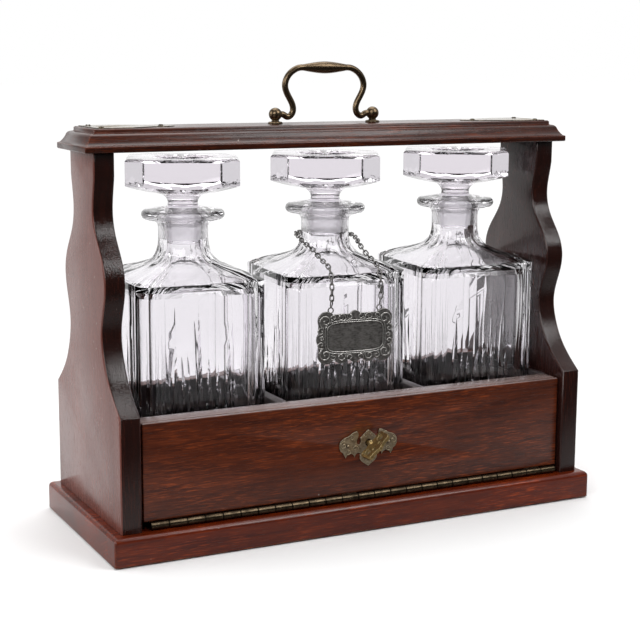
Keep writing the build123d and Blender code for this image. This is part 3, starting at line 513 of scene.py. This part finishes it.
def smoothCopy(node, finish, crease=32.0, ease=0.0, others=()):
    # the CAD solid with its triangles joined, its arrises eased and its round faces shaded smooth;
    # others: (direction, finish) for faces that look that way
    bm = bmesh.new()
    bm.from_mesh(nodes[node].data)
    bmesh.ops.remove_doubles(bm, verts=bm.verts, dist=joinery["join"])
    bmesh.ops.dissolve_limit(bm, angle_limit=math.radians(joinery["flat"]), verts=bm.verts,
                             edges=bm.edges)
    if ease:
        sharp = [e for e in bm.edges
                 if len(e.link_faces) == 2 and e.calc_face_angle() > math.radians(joinery["sharp"])]
        bmesh.ops.bevel(bm, geom=sharp, offset=ease, offset_type="OFFSET", affect="EDGES",
                        segments=joinery["segments"], profile=0.5, material=-1, clamp_overlap=True)
    bm.normal_update()
    for index, (way, _) in enumerate(others, 1):
        for face in bm.faces:
            if face.normal.dot(Vector(way)) > joinery["facing"]:
                face.material_index = index
    materials = [finish] + [other for _, other in others]
    finishPiece(bm, node + "_polished", nodes[node]["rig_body"], materials, crease, [node])


# places shared with the stand, taken from the frame
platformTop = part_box("well_baize")[1].z
decanterBoxes = {side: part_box("decanter_" + side) for side in ("left", "middle", "right")}
decanterTurn = -4.0         # degrees
# how far each stopper happens to be turned in its neck
stopperTurns = {"left": -21.2, "middle": -26.7, "right": -31.7}


def axisOf(side):
    low, high = decanterBoxes[side]
    return Vector(((low.x + high.x) / 2, (low.y + high.y) / 2, 0))


decanter = {
    "half": 45.0,
    "chamfer": 7.0,
    "cornerBulge": 0.5,
    "height": 132.7,        # base to shoulder edge
    # full-height hollow flutes beside each corner: centre, half width, depth, columns
    "flutes": (-34.8, -28.4, 28.4, 34.8),
    "fluteHalf": 3.2,
    "fluteDepth": 0.65,
    "fluteColumns": 4,
    # spears between the flutes: half width and depth at the base, lowest and highest tip, lean
    "spears": 8,
    "spearHalf": 3.1,
    "spearDepth": 2.9,
    "spearShoulder": 42.0,  # the spears keep their full width up to here
    "spearHeights": (66.0, 92.0),
    "spearLean": 2.0,
    "spearLine": 0.12,      # half width of the line that runs on above a spear's tip
    "petals": 3,            # hollows that fan down each side of the shoulder
    "petalDepth": 1.2,
    # half width, height above the base, height that the cuts are worked out for
    "foot": [(44.0, 0.0, 0.0), (44.8, 0.35, 0.3)],
    "wallHeights": (1.2, 8, 20, 32, 40, 44, 48, 52, 56, 60, 64, 68, 72, 76, 80, 84, 88, 92, 97, 103,
                    110, 118, 128),
    # a star cut under the base: half width, height above the base, depth of the rays
    "baseStar": [(6.0, 2.6, 0.3), (16.0, 1.4, 1.6), (28.0, 0.7, 1.2), (35.0, 0.3, 0.0), (38.5, 0.0, 0.0)],
    "baseRays": 12,
    "baseMiddle": 2.9,
    # from the shoulder edge up, half width and height: shoulder, neck, rim, lip and down the ground bore
    "shoulder": [(45.0, 1.0), (44.6, 1.6), (43.4, 2.3), (40.6, 3.6), (37.5, 5.0), (34.0, 6.5), (30.0, 8.1),
                 (27.0, 9.5), (24.2, 11.1), (21.8, 13.2), (19.9, 15.8), (18.6, 18.6), (17.6, 22.0),
                 (17.1, 26.0)],
    "neck": [(17.0, 29.0), (17.0, 33.6), (17.2, 35.6), (17.8, 37.2), (18.9, 38.6), (20.6, 39.6),
             (22.8, 40.1)],
    "rim": {"across": 25.2, "height": 43.4, "radius": 3.2, "step": 15},
    "lip": [(19.6, 47.3), (14.6, 48.05), (12.9, 48.35), (12.0, 47.9)],
    "bore": [(11.68, 47.2), (11.32, 40.0), (10.94, 32.0), (10.66, 26.2)],
    # the inside, from the bore down: half width, height from the shoulder edge, squareness
    "inside": [(10.5, 22.6, 2.0), (10.6, 19.0, 2.0), (11.6, 15.4, 2.0), (13.6, 12.0, 2.1),
               (16.2, 9.0, 2.2), (19.6, 6.2, 2.4), (24.8, 3.2, 2.7), (31.0, 0.4, 3.2), (36.0, -1.8, 4.0),
               (39.0, -4.2, 5.2), (40.2, -7.6, 6.4), (40.4, -12.0, 7.0), (40.4, -50.0, 7.0),
               (40.4, -90.0, 7.0), (40.3, -108.0, 7.0), (40.0, -113.6, 6.8), (39.0, -117.4, 6.2),
               (37.0, -120.0, 5.4), (33.6, -121.5, 4.6), (26.0, -121.6, 3.4), (14.0, -121.0, 2.4)],
    "insideMiddle": -120.6,
}


def seatOf(side, turn):
    # a decanter's own place: on its axis at the shoulder edge, turned by degrees
    shoulder = platformTop + decanter["height"] * mm
    return (Matrix.Translation(axisOf(side) + Vector((0, 0, shoulder)))
            @ Matrix.Rotation(math.radians(turn), 4, "Z"))


def onQuarter(spot, quarter, z):
    # the point on the side that it belongs to, at its height, in metres
    spot.rotate(Matrix.Rotation(math.radians(90) * quarter, 3, "Z"))
    spot.z = z
    return spot * mm


def outward(angle):
    return Vector((math.sin(angle), -math.cos(angle), 0))


def cutShare(height, tip, power):
    # how much of a spear's width or depth is left at a height
    low = decanter["spearShoulder"]
    return min(1.0, max(0.0, (tip - height) / (tip - low))) ** power


def fluteStations(centres):
    d = decanter
    columns = []
    for centre in centres:
        for i in range(1, d["fluteColumns"] + 1):
            share = 2 * i / d["fluteColumns"] - 1
            columns.append(("flute", centre + share * d["fluteHalf"], 1 - share * share))
    return columns


def decanterStations():
    # across one side: flutes, spears of three points each, flutes again, then the eased corner
    d = decanter
    chance = random.Random(8)
    flat = d["half"] - d["chamfer"]
    across = [("flute", -flat, 0.0)] + fluteStations(d["flutes"][:2])
    room = d["flutes"][2] - d["fluteHalf"]
    pitch = 2 * room / d["spears"]
    for i in range(d["spears"]):
        x = -room + pitch * (i + 0.5)
        # every third spear is a tall one
        tip = (chance.uniform(*d["spearHeights"]) if i % 3
               else d["spearHeights"][1] * chance.uniform(1.0, 1.3))
        spear = {"tip": tip, "lean": chance.uniform(-1, 1) * d["spearLean"]}
        across += [("left", x, spear), ("deep", x, spear), ("right", x, spear)]
    across += [("flute", room, 0.0)] + fluteStations(d["flutes"][2:])
    across += [("corner", share, None) for share in (0.25, 0.5, 0.75)]
    return across


sideStations = decanterStations()


def acrossAt(station, height):
    # place across and depth of one point of a side, height above the base
    kind, x, cut = station
    if kind == "flute":
        return x, cut * decanter["fluteDepth"]
    x += cut["lean"] * min(1.0, height / cut["tip"])
    width = max(decanter["spearLine"], decanter["spearHalf"] * cutShare(height, cut["tip"], 0.7))
    if kind == "deep":
        return x, decanter["spearDepth"] * cutShare(height, cut["tip"], 0.9)
    return (x - width if kind == "left" else x + width), 0.0


def cornerPoint(share):
    # on the corner's chamfer, bulging a little in its middle
    half, flat = decanter["half"], decanter["half"] - decanter["chamfer"]
    bulge = decanter["cornerBulge"] * (1 - (2 * share - 1) ** 2)
    spot = Vector((flat, -half, 0)).lerp(Vector((half, -flat, 0)), share)
    return spot + Vector((1, -1, 0)).normalized() * bulge


def outerPoint(k, row):
    # row: half width, height from the shoulder edge, share of roundness,
    # height above the base for the cuts, depth of the petals
    width, z, roundness, height, petal = row
    quarter, index = divmod(k, len(sideStations))
    station = sideStations[index]
    half, chamfer = decanter["half"], decanter["chamfer"]
    scale = width / half
    if station[0] == "corner":
        square = cornerPoint(station[1]) * scale
        angle = math.atan2(square.x, -square.y)
    else:
        x, depth = acrossAt(station, height)
        fan = abs(math.sin(math.pi * decanter["petals"] * (x / (half - chamfer) + 1) / 2))
        depth += petal * fan
        square = Vector((x * scale, -(width - depth), 0))
        angle = math.atan2(x, half)
    dip = petal * abs(math.sin(decanter["petals"] * math.pi * (angle / math.radians(80) + 0.5)))
    return onQuarter(square.lerp(outward(angle) * (width - dip), roundness), quarter, z)


def innerPoint(k, row):
    # row: half width, height from the shoulder edge, squareness
    width, z, power = row
    quarter, index = divmod(k, len(sideStations))
    station = sideStations[index]
    half = decanter["half"]
    if station[0] == "corner":
        corner = cornerPoint(station[1])
        angle = math.atan2(corner.x, -corner.y)
    else:
        angle = math.atan2(acrossAt(station, 0.0)[0], half)
    reach = (abs(math.cos(angle)) ** power + abs(math.sin(angle)) ** power) ** (-1 / power)
    return onQuarter(outward(angle) * width * reach, quarter, z)


def starPoint(k, row):
    # row: half width, height from the shoulder edge, depth of the rays
    width, z, depth = row
    spot = innerPoint(k, (width, z, 2.0 + 3.0 * width / 40))
    wave = abs(((k * decanter["baseRays"] / len(sideStations) / 4) % 1.0) * 2 - 1)
    spot.z += depth * wave * mm
    return spot


def anyPoint(k, row):
    kind, values = row
    return {"outer": outerPoint, "inner": innerPoint, "star": starPoint}[kind](k, values)


def rimRows():
    r = decanter["rim"]
    angles = [math.radians(a) for a in range(-90, 91, r["step"])]
    return [(r["across"] + r["radius"] * math.cos(a), r["height"] + r["radius"] * math.sin(a))
            for a in angles]


def decanterRows():
    d = decanter
    base = -d["height"]
    rows = [("star", (width, base + up, depth)) for width, up, depth in d["baseStar"]]
    rows += [("outer", (width, base + up, 0, height, 0)) for width, up, height in d["foot"]]
    rows += [("outer", (d["half"], base + up, 0, up, 0)) for up in d["wallHeights"]]
    for i, (width, z) in enumerate(d["shoulder"]):
        roundness = min(1.0, max(0.0, (36.0 - width) / 17.0))
        roundness = roundness * roundness * (3 - 2 * roundness)
        petal = d["petalDepth"] * math.sin(math.pi * min(1.0, i / (len(d["shoulder"]) - 1)))
        rows.append(("outer", (width, z, roundness, d["height"], petal)))
    rows += [("outer", (width, z, 1.0, d["height"], 0)) for width, z in d["neck"] + rimRows() + d["lip"]]
    bore = len(rows)
    rows += [("inner", (width, z, 2.0)) for width, z in d["bore"]]
    ground = range(bore - 1, len(rows) - 1)
    rows += [("inner", row) for row in d["inside"]]
    return rows, ground


def makeDecanter(side):
    d = decanter
    rows, ground = decanterRows()
    bm = bmesh.new()
    first, last = loopStack(bm, 4 * len(sideStations), rows, anyPoint, lambda i: 1 if i in ground else 0)
    closeLoop(bm, first, Vector((0, 0, (d["baseMiddle"] - d["height"]) * mm)))
    closeLoop(bm, last, Vector((0, 0, d["insideMiddle"] * mm)))
    bmesh.ops.transform(bm, matrix=seatOf(side, decanterTurn), verts=bm.verts)
    finishPiece(bm, "decanter_glass_" + side, "decanter_" + side,
                ["crystal", "groundGlass"], 17.0, ["decanter_" + side])


stopper = {
    "half": 38.0,
    "chamfer": 12.0,
    "faceStations": 13,
    "cornerStations": 3,
    "cornerRise": 0.2,      # the underside keeps rising out to the corners, between these heights
    "risingFrom": 61.0,
    "risingTo": 63.5,
    "castFacing": 0.6,      # corner faces, which look this much along X and along Y, are as cast
    # half width and height above the shoulder edge: ground plug, collar and waist
    "plug": [(8.6, 23.3), (9.8, 23.5), (10.3, 24.3), (10.7, 31.0), (11.1, 39.5), (11.48, 47.2)],
    "waist": [(11.2, 48.5), (10.4, 49.3), (10.2, 51.4), (10.6, 53.2), (11.6, 54.8), (12.9, 56.0),
              (14.6, 57.0)],
    # with squareness and depth of the cut rays besides: under the block, then its sides and top
    "underside": [(17.0, 57.9, 0, 0.1), (21.0, 58.9, 0.05, 0.4), (26.0, 60.1, 0.2, 0.7),
                  (31.0, 61.2, 0.55, 0.6), (35.6, 62.1, 0.9, 0.3), (38.0, 63.0, 1, 0)],
    "undersideRays": 12,
    "top": [(38.0, 68.4, 1, 0), (38.0, 74.6, 1, 0), (38.0, 80.6, 1, 0), (37.3, 81.6, 1, 0),
            (35.8, 82.15, 1, 0), (32.0, 82.2, 0.7, 0), (26.0, 82.2, 0.2, 0), (21.0, 82.1, 0, 0),
            (16.5, 82.0, 0, 1.7), (11.5, 81.9, 0, 2.8), (6.0, 81.7, 0, 1.6), (1.6, 81.4, 0, 0.2)],
    "topRays": 16,
    "bottomMiddle": 23.3,
    "topMiddle": 81.2,
}


def stopperPoint(k, row):
    # row: half width, height, squareness, depth and number of the rays
    width, z, squareness, petal, count = row
    per = stopper["faceStations"] + stopper["cornerStations"]
    quarter, index = divmod(k, per)
    half, chamfer = stopper["half"], stopper["chamfer"]
    flat = half - chamfer
    if index < stopper["faceStations"]:
        share = index / (stopper["faceStations"] - 1)
        square = Vector(((2 * share - 1) * flat, -half, 0))
    else:
        share = (index - stopper["faceStations"] + 1) / (stopper["cornerStations"] + 1)
        square = Vector((flat, -half, 0)).lerp(Vector((half, -flat, 0)), share)
    angle = math.radians(90) * index / per - math.radians(45) * (stopper["faceStations"] - 1) / per
    spot = (outward(angle) * width).lerp(square * width / half, squareness)
    wave = abs(((k * count / (4 * per)) % 1.0) * 2 - 1)
    rising = stopper["risingFrom"] < z < stopper["risingTo"]
    rise = stopper["cornerRise"] * (spot.length - width) if rising else 0
    return onQuarter(spot, quarter, z - petal * wave + rise)


def makeStopper(side):
    s = stopper
    plain = [(width, z, 0, 0, s["topRays"]) for width, z in s["plug"] + s["waist"]]
    rows = (plain + [(*row, s["undersideRays"]) for row in s["underside"]]
            + [(*row, s["topRays"]) for row in s["top"]])
    ground = range(len(s["plug"]) - 1)
    bm = bmesh.new()
    first, last = loopStack(bm, 4 * (s["faceStations"] + s["cornerStations"]), rows, stopperPoint,
                            lambda i: 1 if i in ground else 0)
    closeLoop(bm, first, Vector((0, 0, s["bottomMiddle"] * mm)))
    closeLoop(bm, last, Vector((0, 0, s["topMiddle"] * mm)))
    bm.normal_update()
    for face in bm.faces:
        if min(abs(face.normal.x), abs(face.normal.y)) > s["castFacing"]:
            face.material_index = 2
    bmesh.ops.transform(bm, matrix=seatOf(side, stopperTurns[side]), verts=bm.verts)
    finishPiece(bm, "stopper_glass_" + side, "stopper_" + side,
                ["stopperCrystal", "plugGlass", "castGlass"], 20.0, ["stopper_" + side])


for side in decanterBoxes:
    makeDecanter(side)
    makeStopper(side)
print("tantalus: glass cut")


# relief chased on the bottle ticket and the escutcheon
def scrollLine(centre, outer, inner, start, end):
    steps = max(8, int(abs(end - start) / 20))
    line = []
    for i in range(steps + 1):
        share = i / steps
        angle = math.radians(start + (end - start) * share)
        radius = outer + (inner - outer) * share
        line.append((centre[0] + radius * math.cos(angle), centre[1] + radius * math.sin(angle)))
    return line


def reliefCurve(name, lines, thick, place, finish, body, closed=False):
    # rounded wires laid on a face; place takes millimetres across, up and out to a spot in metres
    curve = bpy.data.curves.new(name, "CURVE")
    curve.dimensions = "3D"
    curve.bevel_depth = thick * mm
    curve.bevel_resolution = 2
    for line in lines:
        spline = curve.splines.new("POLY")
        spline.points.add(len(line) - 1)
        spline.use_cyclic_u = closed
        for point, (x, z) in zip(spline.points, line):
            point.co = (*place(x, z, thick * 0.2), 1)
    piece = addObject(name, curve)
    curve.materials.append(finishes[finish])
    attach(piece, body)


def chase(name, scrolls, ends, place, finish, body):
    # one piece for each thickness; every scroll mirrored across and, where ends has both, top to bottom
    for number, thick in enumerate(sorted({scroll[-1] for scroll in scrolls})):
        drawn = [scrollLine(*scroll[:-1]) for scroll in scrolls if scroll[-1] == thick]
        lines = [[(side * x, end * z) for x, z in line] for line in drawn for side in (-1, 1) for end in ends]
        reliefCurve("%s_%d" % (name, number), lines, thick, place, finish, body)


ticket = {
    # the plate's middle, from the middle decanter's axis and shoulder edge
    "across": 3.8,
    "face": 46.8,
    "up": -42.2,
    # right upper quarter: centre, radius outside and inside, angles the scroll runs through, thickness
    "scrolls": [
        ((22.4, 11.6), 5.0, 0.8, -70, 420, 0.62), ((10.6, 13.6), 3.4, 0.7, 215, -190, 0.52),
        ((16.4, 14.0), 2.3, 0.5, -30, 330, 0.42), ((3.9, 14.6), 2.5, 0.6, 20, -300, 0.52),
        ((25.8, 4.6), 2.8, 0.6, 100, -260, 0.52), ((25.6, 0.0), 1.6, 0.4, 180, -120, 0.42),
        ((6.8, 11.8), 1.4, 0.4, 0, 300, 0.36), ((17.6, 11.2), 1.5, 0.4, 60, 380, 0.36),
    ],
    # the cartouche: an oblong with rounded corners, drawn twice with a gap between
    "halfWidth": 21.4,
    "halfHeight": 10.4,
    "squareness": 5,
    "thick": 0.42,
    "gap": 1.3,
    "points": 72,
}


def onTicket(x, z, out):
    spot = Vector((ticket["across"] + x, -ticket["face"] - out, ticket["up"] + z)) * mm
    return seatOf("middle", decanterTurn) @ spot


def cartoucheLine(grow):
    t = ticket
    line = []
    for i in range(t["points"]):
        angle = math.radians(i * 360 / t["points"])
        x, z = math.cos(angle), math.sin(angle)
        reach = (abs(x) ** t["squareness"] + abs(z) ** t["squareness"]) ** (-1 / t["squareness"])
        line.append(((t["halfWidth"] + grow) * x * reach, (t["halfHeight"] + grow) * z * reach))
    return line


escutcheon = {
    "across": 3.0,          # the keyhole's place
    "face": -64.9,
    "up": 61.0,
    # right half, from the keyhole, written as the ticket's scrolls are
    "scrolls": [
        ((19.4, -0.2), 2.9, 0.5, 100, -330, 0.36), ((13.2, 4.6), 2.3, 0.4, 60, 420, 0.3),
        ((15.6, -5.0), 2.2, 0.4, -60, -400, 0.3), ((10.4, -3.2), 2.4, 0.4, 200, -160, 0.3),
        ((3.4, -11.0), 2.0, 0.4, 270, -60, 0.3), ((2.6, 5.4), 1.5, 0.3, 100, 420, 0.26),
    ],
}


def onEscutcheon(x, z, out):
    e = escutcheon
    return Vector((e["across"] + x, e["face"] - out, e["up"] + z)) * mm


chase("ticket_scrolls", ticket["scrolls"], (-1, 1), onTicket, "brightSilver", "ticket")
reliefCurve("ticket_cartouche", [cartoucheLine(0.0), cartoucheLine(ticket["gap"])], ticket["thick"],
            onTicket, "brightSilver", "ticket", True)
chase("escutcheon_scrolls", escutcheon["scrolls"], (1,), onEscutcheon, "brightBrass",
      nodes["escutcheon"]["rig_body"])
print("tantalus: ticket and escutcheon chased")


# boards of the stand; node: finish, ease of its arrises, finishes of the faces that look another way
woodFinish = {
    "plinth": ("plinth", 0.0, []),
    # outer cheek faces take the tones with painted light and sheen, inner cheek faces the tones with painted
    # shade
    "left_cheek": ("cheekEdge", 0.0006, [((-1, 0, 0), "litCheekFace"), ((1, 0, 0), "shadedCheekInner")]),
    "right_cheek": ("cheekEdge", 0.0006, [((1, 0, 0), "litCheekFace"), ((-1, 0, 0), "shadedCheekInner")]),
    "top_board": ("board", 0.0003, []),
    # the faces inside the box, here and in the pieces below, take the tones with painted shade and glass haze
    # the ledge on top of the front takes the tones with painted sheen
    "drop_front": ("front", 0.0003, [((0, 1, 0), "inside"), ((0, 0, 1), "ledge")]),
    "back_panel": ("front", 0.0004, [((0, -1, 0), "inside")]),
    "divider_left": ("inside", 0.0006, []),
    "divider_right": ("inside", 0.0006, []),
    "side_rail_left": ("inside", 0.0005, []),
    "side_rail_right": ("inside", 0.0005, []),
}
for node, (finish, ease, others) in woodFinish.items():
    smoothCopy(node, finish, ease=ease, others=others)

# board-like parts that keep their loose triangles
plainFinish = {"platform": "pine", "platform_bearers": "pine", "plinth_felt": "baize", "well_baize": "baize"}
for node, finish in plainFinish.items():
    slots = nodes[node].data.materials
    slots.clear()
    slots.append(finishes[finish])

metalFinish = {
    "cheek_screws": "steel", "board_screws": "steel", "plate_screws": "screwBrass",
    "top_plate_left": "plateBrass", "top_plate_right": "plateBrass",
    "handle_nuts": "handleBrass", "hinge_leaf_plinth": "hingeBrass", "hinge_leaf_front": "hingeBrass",
    "hinge_pin": "hingeBrass", "plinth_leaf_screws": "hingeBrass", "front_leaf_screws": "hingeBrass",
    "lock_case": "lockBrass", "lock_bar": "lockBrass", "lock_screws": "lockBrass",
    "keeper_stud_left": "lockBrass", "keeper_stud_right": "lockBrass",
    "escutcheon": "escutcheonBrass", "escutcheon_pins": "escutcheonBrass", "key": "keyBrass",
    "ticket": "silver", "ticket_chain": "silver",
    "handle_post_left": "handleBrass", "handle_post_right": "handleBrass", "handle_bail": "handleBrass",
}
for node, finish in metalFinish.items():
    smoothCopy(node, finish, crease=36.0)
print("tantalus: stand polished")


studio = {
    "behind": (0.447, 0.894, 0.0),      # the way to the bright wall
    "frontShade": 0.08,     # how bright the room is on the near side, at the sides and overhead
    "sideShade": 0.42,
    "ceiling": 0.95,
    "floorSize": 12,
    "floorNear": 0.05,      # the floor on the near side, and far off as polish sees it
    "floorFar": 0.85,
    "floorPaint": 0.96,     # how pale the floor is
    "throughGlass": 0.5,    # the least that cut glass gathers from the room
    "lamps": {              # place, aims at, size, watts
        "overhead": ((0.1, 0.35, 1.7), (0, 0, 0.1), 1.4, 15),
        "softRight": ((0.62, -0.85, 1.15), (0, 0, 0.12), 0.8, 9),
        "softLeft": ((-1.0, -1.0, 0.95), (0, 0, 0.12), 0.9, 11),
        "farLeft": ((-1.5, 0.5, 0.8), (0, 0, 0.15), 0.8, 9),
    },
}


def makeFloor():
    bm = bmesh.new()
    bmesh.ops.create_grid(bm, x_segments=1, y_segments=1, size=studio["floorSize"])
    mesh = bpy.data.meshes.new("floor")
    bm.to_mesh(mesh)
    bm.free()
    floor = addObject("floor", mesh)
    material, tree, surface = newMaterial("paleFloor")
    place = put(tree, "TexCoord").outputs["Object"]
    depth = put(tree, "SeparateXYZ", Vector=place).outputs["Y"]
    path = put(tree, "LightPath").outputs
    through = path["Is Transmission Ray"]
    highest = spread(tree, through, 0.0, 1.0, (studio["floorFar"], 1.0))
    lowest = spread(tree, through, 0.0, 1.0, (studio["floorNear"], studio["throughGlass"]))
    toward = spread(tree, depth, -0.35, 0.1, smooth=True)
    shade = sums(tree, "MAXIMUM", sums(tree, "MULTIPLY", toward, highest), lowest)
    level = sums(tree, "MAXIMUM", shade, path["Is Camera Ray"])
    reach = put(tree, "VectorMath", {"operation": "LENGTH"}, n0=place).outputs["Value"]
    far = spread(tree, reach, 0.3, 0.9, smooth=True)
    glow = sums(tree, "MULTIPLY", far, level)
    near = sums(tree, "SUBTRACT", 1.0, far)
    paint = sums(tree, "MULTIPLY", near, sums(tree, "MULTIPLY", level, studio["floorPaint"]))
    wire(tree, grey(tree, paint), surface.inputs["Base Color"])
    wire(tree, grey(tree, glow), surface.inputs["Emission Color"])
    surface.inputs["Emission Strength"].default_value = 1.0
    surface.inputs["Roughness"].default_value = 0.9
    surface.inputs["Specular IOR Level"].default_value = 0.1
    mesh.materials.append(material)


def makeWorld():
    world = bpy.data.worlds.new("softRoom")
    bpy.context.scene.world = world
    world.use_nodes = True
    tree = world.node_tree
    background = tree.nodes["Background"]
    look = put(tree, "TexCoord").outputs["Generated"]
    facing = put(tree, "VectorMath", {"operation": "DOT_PRODUCT"}, n0=look, n1=studio["behind"])
    toward = facing.outputs["Value"]
    side = spread(tree, toward, -0.5, 0.35, (studio["frontShade"], studio["sideShade"]), smooth=True)
    wall = spread(tree, toward, 0.5, 0.9, smooth=True)
    height = put(tree, "SeparateXYZ", Vector=look).outputs["Z"]
    ceiling = spread(tree, height, 0.45, 0.65, (0.0, studio["ceiling"]), smooth=True)
    ceiling = sums(tree, "MULTIPLY", ceiling, spread(tree, toward, 0.08, 0.4, (0.14, 1.0), smooth=True))
    path = put(tree, "LightPath").outputs
    through = sums(tree, "MULTIPLY", path["Is Transmission Ray"], studio["throughGlass"])
    seen = sums(tree, "MAXIMUM", path["Is Camera Ray"], through)
    level = sums(tree, "MAXIMUM", sums(tree, "MAXIMUM", side, wall), sums(tree, "MAXIMUM", ceiling, seen))
    wire(tree, grey(tree, level), background.inputs["Color"])
    background.inputs["Strength"].default_value = 1.0


def makeLamps():
    for name, (place, aim, size, watts) in studio["lamps"].items():
        data = bpy.data.lights.new(name, "AREA")
        data.shape = "SQUARE"
        data.size = size
        data.energy = watts
        lamp = addObject(name, data)
        lamp.location = place
        lamp.rotation_euler = (Vector(aim) - Vector(place)).to_track_quat("-Z", "Y").to_euler()


makeFloor()
makeWorld()
makeLamps()
makeCamera()
bpy.context.scene.view_settings.view_transform = "Standard"
print("tantalus: studio lit")
